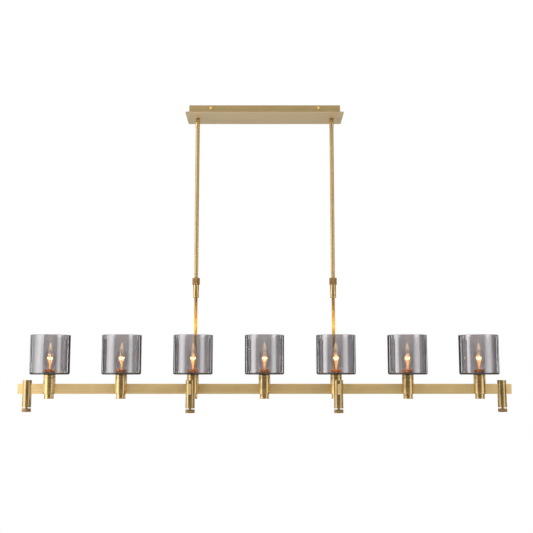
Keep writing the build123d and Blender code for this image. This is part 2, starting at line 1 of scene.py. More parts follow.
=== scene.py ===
"""Linear chandelier: brass bars, smoked glass cup shades and lit candle bulbs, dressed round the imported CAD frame."""
import math

import bpy
from bpy.props import FloatProperty, FloatVectorProperty, IntProperty, PointerProperty
from bpy.types import Operator, Panel, PropertyGroup
from mathutils import Matrix, Vector


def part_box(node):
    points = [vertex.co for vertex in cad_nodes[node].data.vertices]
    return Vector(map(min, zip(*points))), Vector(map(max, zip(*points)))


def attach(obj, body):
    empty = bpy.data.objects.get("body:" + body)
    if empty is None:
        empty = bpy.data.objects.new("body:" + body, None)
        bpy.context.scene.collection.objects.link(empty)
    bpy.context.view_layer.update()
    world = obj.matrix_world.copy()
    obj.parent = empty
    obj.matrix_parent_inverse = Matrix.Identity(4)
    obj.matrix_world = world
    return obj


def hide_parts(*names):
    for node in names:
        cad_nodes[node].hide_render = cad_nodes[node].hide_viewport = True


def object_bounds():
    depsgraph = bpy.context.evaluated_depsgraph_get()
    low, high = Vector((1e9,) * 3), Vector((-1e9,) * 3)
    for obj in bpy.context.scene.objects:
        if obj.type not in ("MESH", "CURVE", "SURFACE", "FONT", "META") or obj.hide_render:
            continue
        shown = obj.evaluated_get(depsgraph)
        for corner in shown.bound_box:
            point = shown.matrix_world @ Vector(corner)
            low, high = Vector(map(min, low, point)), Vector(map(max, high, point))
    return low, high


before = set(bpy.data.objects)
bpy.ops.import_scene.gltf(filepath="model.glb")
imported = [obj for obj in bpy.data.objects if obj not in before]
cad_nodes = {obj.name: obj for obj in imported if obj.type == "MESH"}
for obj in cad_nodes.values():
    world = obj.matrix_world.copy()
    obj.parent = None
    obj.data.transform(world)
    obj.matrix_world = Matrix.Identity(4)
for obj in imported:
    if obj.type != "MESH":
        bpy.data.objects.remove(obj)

bl_info = {
    "name": "Linear Chandelier",
    "version": (1, 0, 0),
    "blender": (4, 5, 0),
    "location": "View3D > Sidebar > Chandelier",
    "description": "Brass bar chandelier with smoked glass cup shades, built round its packed CAD frame",
    "category": "Add Mesh",
}

# What the frame says
cad_low, cad_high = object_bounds()
sides = ("left", "right")
post_names = ("end_left", "end_right", "front_left", "front_right")
lamp_numbers = range(1, 1 + sum(name.startswith("lamp_body_") for name in cad_nodes))

# Shared measures of the new meshes, in metres unless named otherwise
millimetre = 0.001
running_clearance = 0.05 * millimetre
loose_gap = 6 * running_clearance
weld_distance = 0.002 * millimetre
relief_depth = 0.1 * millimetre
smooth_angle = math.radians(35)


# Settings that a user would change

def tone(name, description, default):
    """Colour property in linear light."""
    return FloatVectorProperty(name=name, description=description, subtype="COLOR", size=3, min=0.0,
                               max=1.0, default=default)


def length(name, description, default):
    """Length property in metres."""
    return FloatProperty(name=name, description=description, default=default, min=0.0, unit="LENGTH",
                         precision=5)


def factor(name, description, default, lowest=0.0, highest=1.0):
    """Property that is a share of something."""
    return FloatProperty(name=name, description=description, default=default, min=lowest, max=highest,
                         subtype="FACTOR")


def amount(name, description, default, highest=10.0, **more):
    """Brightness or other plain amount from nothing upwards."""
    return FloatProperty(name=name, description=description, default=default, min=0.0, max=highest, **more)


def whole(name, description, default, lowest, highest):
    """Whole number property."""
    return IntProperty(name=name, description=description, default=default, min=lowest, max=highest)


class BrassSettings(PropertyGroup):
    """Tones and finish of the brass."""

    light: tone("Light brass", "Freshly brushed brass", (0.69, 0.515, 0.25))
    dark: tone("Aged brass", "Slightly darkened brass in the drifts between", (0.59, 0.42, 0.185))
    knurl: tone("Knurl brass", "Browned brass in the knurling", (0.38, 0.24, 0.10))
    # Partly the stems' own deep gold, partly painted light: this tone is raised to stand in for the bulbs' warm light
    # on the stems.
    stem: tone("Stem brass", "Deep gold of the lower stems", (0.95, 0.56, 0.08))
    roughness: factor("Roughness", "Middle roughness of the brushed faces", 0.36)
    metallic: factor("Metallic", "Share of bare metal on turned pieces; the rest is lacquer haze", 0.92)
    brushed_metallic: factor("Brushed metallic", "Share of bare metal on the brushed bars and canopy", 0.62)
    edge_round: length("Edge round", "Rounding of turned brass edges", 0.35 * millimetre)
    steps: whole("Steps", "Faces round a turned piece", 96, 12, 256)


class GlassSettings(PropertyGroup):
    """Shape and smoke of the cup shades."""

    wall: length("Wall", "Thickness of the glass", 3.0 * millimetre)
    corner: length("Bottom corner", "Outer radius between wall and floor", 5.5 * millimetre)
    rim: length("Rim", "Rounding of the open rim", 1.2 * millimetre)
    arc_points: whole("Arc points", "Points on each rounded corner", 7, 3, 24)
    steps: whole("Steps", "Faces round a shade", 128, 24, 256)
    smoke: tone("Smoke", "Tint of the glass face", (0.97, 0.953, 0.960))
    depth_tint: tone("Depth tint", "Colour of light that has passed through the wall", (0.51, 0.50, 0.54))
    density: amount("Density", "How fast the wall takes light, per metre", 205.0, 2000.0)
    # Painted shade: how dark the glass is painted where its wall turns away from the eye.
    side_share: factor("Side share", "Brightness of the coated face where it turns away, as a share of the face "
                       "seen squarely", 0.12)
    mirror: factor("Mirror coat", "Share of metal in the coated face", 0.15)


class BulbSettings(PropertyGroup):
    """Candle bulbs."""

    wall: length("Wall", "Thickness of the bulb's glass", 0.8 * millimetre)
    steps: whole("Steps", "Faces round a bulb", 64, 12, 256)
    neck_share: factor("Neck", "Neck radius as a share of the belly", 0.36, 0.1)
    # Painted light: tone and brightness of the glow painted into the tip of each bulb's glass.
    tip_tone: tone("Tip tone", "Filament light that the thick tip of the glass catches", (1.0, 0.66, 0.32))
    tip_strength: amount("Tip strength", "Brightness of the light in the tip", 0.3)
    glow: tone("Glow", "Colour of the lit filament", (1.0, 0.62, 0.26))
    glow_strength: amount("Glow strength", "Brightness of the filament", 30.0, 500.0)
    # Painted light: brightness of the amber glow painted into the glass mount.
    mount_strength: amount("Mount strength", "Brightness of the glass mount in the filament's light", 3.5)
    lamp_power: amount("Lamp power", "Light that each bulb throws on its surroundings", 2.0, 50.0, unit="POWER")
    lamp_tone: tone("Lamp tone", "Colour of the light that each bulb throws", (1.0, 0.60, 0.28))
    leg_height: length("Filament height", "Height of each leg of the filament", 8.0 * millimetre)
    leg_spread: length("Filament spread", "Width of the filament at its top", 15.0 * millimetre)
    foot_share: factor("Foot share", "Width at the foot as a share of the top", 0.55, 0.05, 1.5)
    outer_share: factor("Outer legs", "Height of the outer legs as a share of the middle ones", 0.5, 0.1)
    leg_count: whole("Filament legs", "Straight coiled legs", 4, 2, 8)
    coil_radius: length("Coil radius", "Radius of the coiled wire", 0.6 * millimetre)
    coil_pitch: length("Coil pitch", "Distance from turn to turn", 0.9 * millimetre)
    coil_steps: whole("Coil steps", "Points on each turn of the coil", 8, 4, 32)
    wire_radius: length("Wire radius", "Radius of the filament's wire", 0.18 * millimetre)


class KnurlSettings(PropertyGroup):
    """Diamond knurling on collars and thumb knobs."""

    pitch: length("Pitch", "Distance between neighbouring points of the knurl's grid", 0.88 * millimetre)
    depth: length("Depth", "Height of the diamonds", 0.38 * millimetre)
    chamfer: length("Chamfer", "Chamfer at both ends", 0.8 * millimetre)
    rim: length("Plain rim", "Plain band above and below the knurling", 1.2 * millimetre)


class StudioSettings(PropertyGroup):
    """Camera, lamps and backdrop. Metal and glass see the room's levels, and the eye sees white."""

    lens: FloatProperty(name="Lens", description="Focal length on a frame 36 mm wide", default=57.41,
                        min=10.0, max=300.0, unit="CAMERA")
    pitch: FloatProperty(name="Pitch", description="How far the camera looks up", default=math.radians(7.4),
                         subtype="ANGLE")
    eye: FloatVectorProperty(name="Eye", description="Place of the camera", default=(0.006, -2.6535, -0.8523),
                             subtype="TRANSLATION")
    fill: amount("Fill", "Even light from all round", 0.75)
    room_tone: tone("Room tone", "Colour of the room", (1.0, 0.87, 0.68))
    eye_level: amount("Eye level", "Brightness of the dark room at the height of the row", 0.09)
    front: amount("Front", "Brightness of the room in front, above and below eye level", 0.34)
    sides: amount("Sides", "Brightness of the room at the sides, above and below eye level", 0.25)
    strips: amount("Strips", "Brightness of narrow upright strips, which draw fine lines in the glass", 4.0)
    back: amount("Back", "Brightness of the pale wall behind", 0.25)
    above: amount("Above", "Brightness of the room overhead", 1.20)
    below: amount("Below", "Brightness of the room underfoot", 0.35)
    left_panel: amount("Left panel", "Brightness of the tall light panel on the left", 2.7, 20.0)
    right_panel: amount("Right panel", "Brightness of the tall light panel on the right", 1.75, 20.0)
    panel_height: length("Panel height", "Height of each light panel", 2.4)
    floor_drop: length("Floor drop", "Ceiling to floor", 2.4)
    floor_size: length("Floor size", "Side of the floor", 5.0)


# Mesh helpers

def deselect():
    """Leave nothing selected, so that the next operator acts on the new piece alone."""
    if bpy.context.object is not None and bpy.context.object.mode != "OBJECT":
        bpy.ops.object.mode_set(mode="OBJECT")
    bpy.ops.object.select_all(action="DESELECT")


def only(piece):
    """Make one piece the active and selected one."""
    deselect()
    piece.select_set(True)
    bpy.context.view_layer.objects.active = piece


def name_piece(piece, name):
    """Give a piece and its mesh their name."""
    piece.name = name
    piece.data.name = name
    return piece


def settle(piece):
    """Move a piece's place, turn and size into its mesh, so that its object sits at the origin."""
    only(piece)
    bpy.ops.object.transform_apply(location=True, rotation=True, scale=True)
    return piece


def arc(centre_r, centre_z, radius, start, end, points):
    """Points of a round corner in an outline, from one angle to another in degrees."""
    turn = [math.radians(start + (end - start) * step / (points - 1)) for step in range(points)]
    return [(centre_r + radius * math.cos(angle), centre_z + radius * math.sin(angle)) for angle in turn]


def flowing(points, between):
    """Smooth line through a few outline points, with a number of new points between each pair."""
    padded = [points[0]] + list(points) + [points[-1]]
    line = []
    for before, start, end, after in zip(padded, padded[1:], padded[2:], padded[3:]):
        for step in range(between):
            t = step / between
            line.append(tuple(
                0.5 * (2 * b + (c - a) * t + (2 * a - 5 * b + 4 * c - d) * t * t
                       + (3 * b - a - 3 * c + d) * t ** 3)
                for a, b, c, d in zip(before, start, end, after)))
    return line + [points[-1]]


def turned(name, outline, axis, steps):
    """Piece turned on an upright axis from an outline of (radius, height) points."""
    deselect()
    bpy.ops.mesh.primitive_plane_add(size=millimetre)
    piece = name_piece(bpy.context.object, name)
    bpy.ops.object.mode_set(mode="EDIT")
    bpy.ops.mesh.merge(type="CENTER")
    radius, height = outline[0]
    bpy.ops.transform.translate(value=(axis.x + radius, axis.y, height))
    for (r0, z0), (r1, z1) in zip(outline, outline[1:]):
        bpy.ops.mesh.extrude_region_move(TRANSFORM_OT_translate={"value": (r1 - r0, 0.0, z1 - z0)})
    bpy.ops.mesh.select_all(action="SELECT")
    bpy.ops.mesh.spin(steps=steps, angle=math.tau, center=(axis.x, axis.y, 0.0), axis=(0.0, 0.0, 1.0))
    bpy.ops.mesh.select_all(action="SELECT")
    bpy.ops.mesh.remove_doubles(threshold=weld_distance)
    bpy.ops.mesh.normals_make_consistent(inside=False)
    bpy.ops.object.mode_set(mode="OBJECT")
    return piece


def apply_modifier(piece, kind, **values):
    """Add a modifier with its values and apply it."""
    only(piece)
    bpy.ops.object.modifier_add(type=kind)
    modifier = piece.modifiers[-1]
    for key, value in values.items():
        setattr(modifier, key, value)
    bpy.ops.object.modifier_apply(modifier=modifier.name)
    return piece


def round_edges(piece, width):
    """Round every hard edge a little."""
    return apply_modifier(piece, "BEVEL", width=width, segments=3, limit_method="ANGLE",
                          angle_limit=math.radians(40), use_clamp_overlap=True)


def block(low, high):
    """Box between two corners, to cut with."""
    deselect()
    bpy.ops.mesh.primitive_cube_add(size=1.0, location=(low + high) / 2)
    box = bpy.context.object
    box.scale = high - low
    return settle(box)


def cut(piece, cutter):
    """Cut a box or other closed mesh out of a piece, and remove the cutter."""
    apply_modifier(piece, "BOOLEAN", object=cutter, operation="DIFFERENCE", solver="EXACT")
    bpy.data.objects.remove(cutter)
    return piece


def smooth(piece):
    """Smooth shading that keeps hard edges."""
    only(piece)
    bpy.ops.object.shade_smooth_by_angle(angle=smooth_angle)
    return piece


def copy_to(piece, name, offset):
    """Copy of a piece with its own mesh, moved by an offset."""
    twin = piece.copy()
    twin.data = piece.data.copy()
    twin.data.transform(Matrix.Translation(offset))
    bpy.context.scene.collection.objects.link(twin)
    return name_piece(twin, name)


def place(piece, finish_name, body, slot, *nodes):
    """Give a finished piece its material, body and the CAD nodes that it stands for. The slot argument is not used."""
    piece.data.materials.clear()
    piece.data.materials.append(finish(finish_name))
    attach(piece, body)
    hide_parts(*nodes)
    return piece


def centre(node):
    """Middle of a CAD node's box."""
    low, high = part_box(node)
    return (low + high) / 2


def radius_of(node):
    """Radius of a round CAD node, of each round piece in a row along X, or half a bar's width."""
    low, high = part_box(node)
    return (high.y - low.y) / 2


def span_of(node):
    """Bottom and top of a CAD node."""
    low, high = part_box(node)
    return low.z, high.z


def form_of(node):
    """Upright axis, radius, bottom and top of a round CAD node."""
    return centre(node), radius_of(node), *span_of(node)


def lamp_axis(number):
    """Upright axis of a lamp."""
    return centre("shade_%d" % number)


def row_of(piece, base, finish_name, slot, node):
    """Repeat the first lamp's piece on every lamp. Braces in the node's name stand for the lamp's number."""
    for number in lamp_numbers:
        twin = copy_to(piece, "%s_%d" % (base, number), lamp_axis(number) - lamp_axis(1))
        place(twin, finish_name, "light_frame", slot, node.format(number))
    bpy.data.objects.remove(piece)


# Material helpers

def scaled(colour, share):
    """Tone at a share of its brightness."""
    return tuple(min(1.0, share * value) for value in colour)


def set_values(node, values):
    """Give a node's sockets their values."""
    for key, value in values.items():
        node.inputs[key].default_value = value
    return node


def add_node(tree, kind, values=None, **settings):
    """Shader node with its sockets' values and its settings."""
    node = tree.nodes.new(kind)
    for key, value in settings.items():
        setattr(node, key, value)
    return set_values(node, values or {})


def join(tree, start, output, end, socket):
    """Link an output to an input."""
    tree.links.new(start.outputs[output], end.inputs[socket])


def calculate(tree, operation, *values, clamp=False):
    """Math node whose values are numbers, or pairs of a node and its output."""
    node = add_node(tree, "ShaderNodeMath", operation=operation, use_clamp=clamp)
    for index, value in enumerate(values):
        if isinstance(value, tuple):
            join(tree, *value, node, index)
        else:
            node.inputs[index].default_value = value
    return node


def remap(tree, source, output, low, high, to_low=0.0, to_high=1.0):
    """Value taken from one range to another and held at both ends."""
    node = add_node(tree, "ShaderNodeMapRange", {"From Min": low, "From Max": high, "To Min": to_low,
                                                 "To Max": to_high})
    join(tree, source, output, node, "Value")
    return node


def split_axes(tree, coordinates, output="Object"):
    """Coordinates as three values."""
    axes = add_node(tree, "ShaderNodeSeparateXYZ")
    join(tree, coordinates, output, axes, "Vector")
    return axes


def mix_tones(tree, mask, output, first, second):
    """Colour from the first tone to the second by a mask. A tone is three numbers or a colour output."""
    mix = add_node(tree, "ShaderNodeMix", data_type="RGBA")
    join(tree, mask, output, mix, "Factor")
    for label, end in (("A", first), ("B", second)):
        socket = next(each for each in mix.inputs if each.type == "RGBA" and each.name == label)
        if isinstance(end, tuple):
            socket.default_value = (*end, 1.0)
        else:
            tree.links.new(end, socket)
    return next(each for each in mix.outputs if each.type == "RGBA")


def paint(tree, shader, colour, *sockets):
    """Link a colour output to a shader's colour, or to the sockets that are named."""
    for socket in sockets or ("Base Color",):
        tree.links.new(colour, shader.inputs[socket])


def new_group(name, inputs, outputs):
    """Empty node group with its input and output nodes. An input is a vector or a single value, as its default."""
    tree = bpy.data.node_groups.new(name, "ShaderNodeTree")
    for label, default in inputs.items():
        kind = "NodeSocketVector" if isinstance(default, tuple) else "NodeSocketFloat"
        tree.interface.new_socket(label, in_out="INPUT", socket_type=kind).default_value = default
    for label in outputs:
        tree.interface.new_socket(label, in_out="OUTPUT", socket_type="NodeSocketFloat")
    return tree, tree.nodes.new("NodeGroupInput"), tree.nodes.new("NodeGroupOutput")


def brush_grain(name):
    """Fine drawn-out grain: streaks along the axis whose stretch is small."""
    tree, entry, result = new_group(name, {"Vector": (0.0, 0.0, 0.0), "Stretch": (1.0, 1.0, 1.0)},
                                    ("Grain", "Streak"))
    stretched = add_node(tree, "ShaderNodeVectorMath", operation="MULTIPLY")
    join(tree, entry, "Vector", stretched, 0)
    join(tree, entry, "Stretch", stretched, 1)
    fine = add_node(tree, "ShaderNodeTexNoise", {"Scale": 1.0, "Detail": 5.0, "Roughness": 0.7})
    wide = add_node(tree, "ShaderNodeTexNoise", {"Scale": 0.22, "Detail": 3.0, "Roughness": 0.6})
    for noise in (fine, wide):
        join(tree, stretched, "Vector", noise, "Vector")
    join(tree, fine, "Fac", result, "Grain")
    join(tree, remap(tree, wide, "Fac", 0.3, 0.7), "Result", result, "Streak")


def tone_drift(name):
    """Slow cloudy change over a surface, as in aged metal."""
    tree, entry, result = new_group(name, {"Vector": (0.0, 0.0, 0.0), "Scale": 20.0}, ("Mask",))
    cloud = add_node(tree, "ShaderNodeTexNoise", {"Detail": 4.0, "Roughness": 0.55, "Distortion": 0.4})
    join(tree, entry, "Vector", cloud, "Vector")
    join(tree, entry, "Scale", cloud, "Scale")
    join(tree, remap(tree, cloud, "Fac", 0.35, 0.65), "Result", result, "Mask")


def edge_wear(name):
    """Mask of worn outer edges, and mask of inner corners that are darkened."""
    tree, entry, result = new_group(name, {"Amount": 1.0}, ("Wear", "Crease"))
    geometry = tree.nodes.new("ShaderNodeNewGeometry")
    for label, start, end in (("Wear", 0.53, 0.62), ("Crease", 0.47, 0.38)):
        mask = remap(tree, geometry, "Pointiness", start, end)
        part = calculate(tree, "MULTIPLY", (mask, "Result"), (entry, "Amount"))
        join(tree, part, 0, result, label)


group_makers = {"Brush grain": brush_grain, "Tone drift": tone_drift, "Edge wear": edge_wear}


def use_group(tree, name, values, coordinates=None):
    """Place a node group in a material, and let it read the Object coordinates where they are given."""
    if name not in bpy.data.node_groups:
        group_makers[name](name)
    node = add_node(tree, "ShaderNodeGroup", values, node_tree=bpy.data.node_groups[name])
    if coordinates is not None:
        join(tree, coordinates, "Object", node, "Vector")
    return node


def new_finish(name):
    """Tree, Principled shader and Object coordinates of a new material."""
    material = bpy.data.materials.new(name)
    material.use_nodes = True
    tree = material.node_tree
    return tree, tree.nodes["Principled BSDF"], tree.nodes.new("ShaderNodeTexCoord")


def mottle(tree, coordinates, cloud_scale, light, dark):
    """Colour that drifts slowly between two tones."""
    cloud = use_group(tree, "Tone drift", {"Scale": cloud_scale}, coordinates)
    return mix_tones(tree, cloud, "Mask", light, dark)


def texture_surface(tree, shader, source, output, roughness, swing, bump):
    """Let one fine pattern vary the roughness and raise the surface."""
    rough = remap(tree, source, output, 0.0, 1.0, roughness - swing, roughness + swing)
    join(tree, rough, "Result", shader, "Roughness")
    relief = add_node(tree, "ShaderNodeBump", {"Strength": bump, "Distance": relief_depth})
    join(tree, source, output, relief, "Height")
    join(tree, relief, "Normal", shader, "Normal")


def uneven_polish(tree, shader, coordinates, cloud_scale, most):
    """Let the polish of glass drift between perfect and a faint haze."""
    cloud = use_group(tree, "Tone drift", {"Scale": cloud_scale}, coordinates)
    join(tree, remap(tree, cloud, "Mask", 0.0, 1.0, 0.0, most), "Result", shader, "Roughness")


# Grain directions: streaks run along the axis with the small number
along_row = (6.0, 900.0, 900.0)
across_row = (900.0, 6.0, 900.0)
round_axis = (5.0, 5.0, 1100.0)
along_rod = (700.0, 700.0, 5.0)
upright_streaks = (420.0, 420.0, 6.0)
even_grain = (220.0, 220.0, 220.0)

# How far streaks and clouds each darken a metal, and the tone of worn edges and of darkened inner corners
streak_part = 0.55
cloud_part = 0.45
worn_lift = 1.18
crease_dark_share = 0.45

# Tone of the smoked glass in its streaks and in the painted shade along its foot, and where the painted glow in a
# bulb's tip starts
streak_share = 0.92
foot_share = 0.15
tip_start = 0.68


def metal(name, light, dark, stretch, roughness, swing, bump, cloud_scale, metallic=1.0, wear=0.5):
    """Metal with drawn grain, slow drift of tone, worn edges and darker inner corners."""
    tree, shader, coordinates = new_finish(name)
    grain = use_group(tree, "Brush grain", {"Stretch": stretch}, coordinates)
    cloud = use_group(tree, "Tone drift", {"Scale": cloud_scale}, coordinates)
    edges = use_group(tree, "Edge wear", {"Amount": wear})
    streaks = calculate(tree, "MULTIPLY", (grain, "Streak"), streak_part)
    darkness = calculate(tree, "MULTIPLY_ADD", (cloud, "Mask"), cloud_part, (streaks, 0))
    colour = mix_tones(tree, darkness, 0, light, dark)
    colour = mix_tones(tree, edges, "Wear", colour, scaled(light, worn_lift))
    colour = mix_tones(tree, edges, "Crease", colour, scaled(dark, crease_dark_share))
    paint(tree, shader, colour)
    texture_surface(tree, shader, grain, "Grain", roughness, swing, bump)
    shader.inputs["Metallic"].default_value = metallic
    return tree, shader, coordinates


def brass(name, stretch, roughness_change, painted_light_scale, bare=None, bump=0.10, shade=1.0):
    """Lacquered brass in the common tones, made brighter or dimmer per piece as painted light and shade. Shade dims the
    dark tone alone.
    """
    settings = bpy.context.scene.chandelier_brass
    return metal(name, scaled(settings.light, painted_light_scale), scaled(settings.dark, painted_light_scale * shade), stretch,
                 settings.roughness + roughness_change, 0.07, bump, 14.0, bare or settings.metallic)


def brushed_brass(name, stretch, painted_light_scale, drawn):
    """Brass of the flat pieces, whose brush lines spread light up and down."""
    bare = bpy.context.scene.chandelier_brass.brushed_metallic
    tree, shader = brass(name, stretch, 0.06, painted_light_scale, bare, bump=0.25, shade=0.84)[:2]
    set_values(shader, {"Anisotropic": drawn, "Anisotropic Rotation": 0.25})
    if drawn:
        direction = add_node(tree, "ShaderNodeTangent", direction_type="RADIAL", axis="Z")
        join(tree, direction, "Tangent", shader, "Tangent")


def plate_brass(name):
    """Brass of the canopy's cover plate: a paler, greyer copy of the brass whose tones are painted light, set to how
    the underside looks under the lamps.
    """
    metal(name, (0.57, 0.50, 0.34), (0.49, 0.42, 0.27), along_row, 0.44, 0.07, 0.10, 14.0,
          bpy.context.scene.chandelier_brass.brushed_metallic)


def knurled_brass(name):
    """Browned brass of the knurled parts."""
    knurl = bpy.context.scene.chandelier_brass.knurl
    metal(name, tuple(knurl), scaled(knurl, 0.7), round_axis, 0.36, 0.08, 0.08, 60.0, wear=1.0)


def stem_brass(name):
    """Deep polished brass of the lower stems, with painted shade that darkens them just under the ferrules and fades
    out further down.
    """
    gold = bpy.context.scene.chandelier_brass.stem
    # Partly painted light: the low metallic of 0.6 brightens the stems to stand in for the bulbs' warm light on them.
    tree, shader, coordinates = metal(name, tuple(gold), scaled(gold, 0.85), along_rod, 0.44, 0.06, 0.04, 30.0,
                                      0.6)
    ferrule = span_of("ferrule_left")[0]
    # Painted shade: near-black brown just under the ferrule, fading into the stem's own gold 90 mm lower.
    painted_shade_fade = remap(tree, split_axes(tree, coordinates), "Z", ferrule - 10 * millimetre,
                  ferrule - 90 * millimetre, 0.25, 1.0)
    colour = mix_tones(tree, painted_shade_fade, "Result", (0.10, 0.035, 0.006),
                       shader.inputs["Base Color"].links[0].from_socket)
    paint(tree, shader, colour)


def plain_body(name, light, dark, roughness, cloud_scale, bump, bump_scale):
    """Ceramic, rubber or plastic with a slight mottle and a fine moulded texture."""
    tree, shader, coordinates = new_finish(name)
    paint(tree, shader, mottle(tree, coordinates, cloud_scale, light, dark))
    skin = add_node(tree, "ShaderNodeTexNoise", {"Scale": bump_scale, "Detail": 3.0})
    join(tree, coordinates, "Object", skin, "Vector")
    texture_surface(tree, shader, skin, "Fac", roughness, 0.08, bump)


def floor_paint(name):
    """Pale floor."""
    tree, shader, coordinates = new_finish(name)
    paint(tree, shader, mottle(tree, coordinates, 1.5, (0.90, 0.90, 0.89), (0.88, 0.88, 0.87)))
    shader.inputs["Roughness"].default_value = 0.85


def smoked_glass(name):
    """Smoked glass with a faint mirror coat, darker in streaks, with painted shade along its foot and where the wall
    turns away from the eye.
    """
    settings = bpy.context.scene.chandelier_glass
    smoke = tuple(settings.smoke)
    tree, shader, coordinates = new_finish(name)
    streaks = use_group(tree, "Brush grain", {"Stretch": upright_streaks}, coordinates)
    colour = mix_tones(tree, streaks, "Streak", smoke, scaled(smoke, streak_share))
    # Painted shade: the glass colour darkens where the wall turns away from the eye, standing in for the dark sides of
    # the shades.
    slant = add_node(tree, "ShaderNodeLayerWeight", {"Blend": 0.5})
    painted_edge_shade_mask = remap(tree, slant, "Facing", 0.2, 0.8)
    colour = mix_tones(tree, painted_edge_shade_mask, "Result", colour, scaled(smoke, settings.side_share))
    # Painted shade: a dark band in the lowest few millimetres of each shade, along its foot.
    low = span_of("shade_1")[0]
    foot = remap(tree, split_axes(tree, coordinates), "Z", low + 1.1 * settings.corner,
                 low + 0.5 * settings.corner)
    colour = mix_tones(tree, foot, "Result", colour, scaled(smoke, foot_share))
    paint(tree, shader, colour)
    uneven_polish(tree, shader, coordinates, 9.0, 0.025)
    set_values(shader, {"Metallic": settings.mirror, "Transmission Weight": 1.0, "IOR": 1.5})
    depth = add_node(tree, "ShaderNodeVolumeAbsorption",
                     {"Color": (*settings.depth_tint, 1.0), "Density": settings.density})
    join(tree, depth, "Volume", tree.nodes["Material Output"], "Volume")


def clear_glass(name):
    """Thin clear glass of the bulbs, with a painted glow of filament light in its upper third."""
    settings = bpy.context.scene.chandelier_bulb
    tree, shader, coordinates = new_finish(name)
    uneven_polish(tree, shader, coordinates, 40.0, 0.02)
    low, high = span_of("bulb_glass")
    # Painted light: an emission glow in the upper third of the bulb's glass, which is no lamp.
    tip_glow_mask = remap(tree, split_axes(tree, coordinates), "Z", low + tip_start * (high - low), high)
    painted_tip_glow = mix_tones(tree, tip_glow_mask, "Result", (0.0, 0.0, 0.0), tuple(settings.tip_tone))
    paint(tree, shader, painted_tip_glow, "Emission Color")
    set_values(shader, {"Base Color": (0.99, 0.97, 0.94, 1.0), "Transmission Weight": 1.0, "IOR": 1.45,
                        "Emission Strength": settings.tip_strength})


def glowing_wire(name):
    """Lit filament, a little redder in patches."""
    settings = bpy.context.scene.chandelier_bulb
    tree, shader, coordinates = new_finish(name)
    red, green, blue = settings.glow
    heat = mottle(tree, coordinates, 300.0, (red, green, blue), (red, 0.85 * green, 0.7 * blue))
    paint(tree, shader, heat, "Base Color", "Emission Color")
    set_values(shader, {"Emission Strength": settings.glow_strength, "Roughness": 0.5})


def mount_glass(name):
    """Solid glass mount with a painted amber glow that stands in for the filament's light, brightest near the filament.
    """
    tree, shader, coordinates = new_finish(name)
    # Painted light: the mount's colour and emission run from dark at its foot to bright amber near the filament.
    painted_glow_mask = remap(tree, split_axes(tree, coordinates), "Z", *span_of("bulb_filaments"))
    painted_amber_glow = mix_tones(tree, painted_glow_mask, "Result", (0.10, 0.012, 0.002), (1.0, 0.50, 0.14))
    paint(tree, shader, painted_amber_glow, "Base Color", "Emission Color")
    set_values(shader, {"Emission Strength": bpy.context.scene.chandelier_bulb.mount_strength,
                        "Roughness": 0.12})


# Every finish by its name: its maker, and what the maker is given after the name. The brightness scale given to each
# copy of the brass is painted light and shade, raised or lowered by how the lamps fall on that piece.
finishes = {
    "brass_brushed_along_row": (brushed_brass, along_row, 1.22, 0.8),
    "brass_brushed_across_row": (brushed_brass, across_row, 1.05, 0.0),
    "brass_canopy_tray": (brushed_brass, along_row, 0.84, 0.8),
    "brass_canopy_plate": (plate_brass,),
    "brass_knuckle": (brass, round_axis, -0.10, 0.62),
    "brass_turned": (brass, round_axis, -0.10, 0.92),
    "brass_posts": (brass, round_axis, -0.10, 0.70),
    "brass_drawn_rod": (brass, along_rod, -0.02, 0.88, 0.70),
    "brass_polished_stem": (stem_brass,),
    "brass_knurled": (knurled_brass,),
    # Partly the rings' own dark brass, partly painted light: redder and brighter, to stand in for the filament's warm
    # light on them.
    "brass_dark_ring": (metal, (0.74, 0.29, 0.07), (0.50, 0.17, 0.04), round_axis, 0.38, 0.08, 0.08, 50.0),
    "brass_polished_screw": (metal, (1.0, 0.74, 0.26), (0.96, 0.66, 0.20), round_axis, 0.40, 0.05, 0.03, 80.0,
                             0.35),
    "brass_bulb_base": (metal, (0.72, 0.55, 0.28), (0.60, 0.43, 0.20), round_axis, 0.30, 0.06, 0.05, 80.0),
    "steel_zinc": (metal, (0.60, 0.61, 0.63), (0.48, 0.50, 0.52), even_grain, 0.42, 0.10, 0.06, 40.0),
    "ceramic_holder": (plain_body, (0.78, 0.76, 0.71), (0.70, 0.68, 0.62), 0.45, 60.0, 0.15, 900.0),
    "rubber_gasket": (plain_body, (0.020, 0.020, 0.021), (0.035, 0.034, 0.033), 0.75, 90.0, 0.3, 1500.0),
    "nylon_collet": (plain_body, (0.70, 0.68, 0.60), (0.62, 0.60, 0.52), 0.5, 90.0, 0.15, 1200.0),
    "wire_cover": (plain_body, (0.60, 0.58, 0.48), (0.52, 0.50, 0.40), 0.4, 120.0, 0.1, 1500.0),
    "plastic_connector": (plain_body, (0.68, 0.22, 0.03), (0.60, 0.17, 0.02), 0.5, 120.0, 0.2, 1500.0),
    "glass_smoked": (smoked_glass,),
    "glass_clear": (clear_glass,),
    "glass_mount": (mount_glass,),
    "filament_lit": (glowing_wire,),
    "floor_pale": (floor_paint,),
}

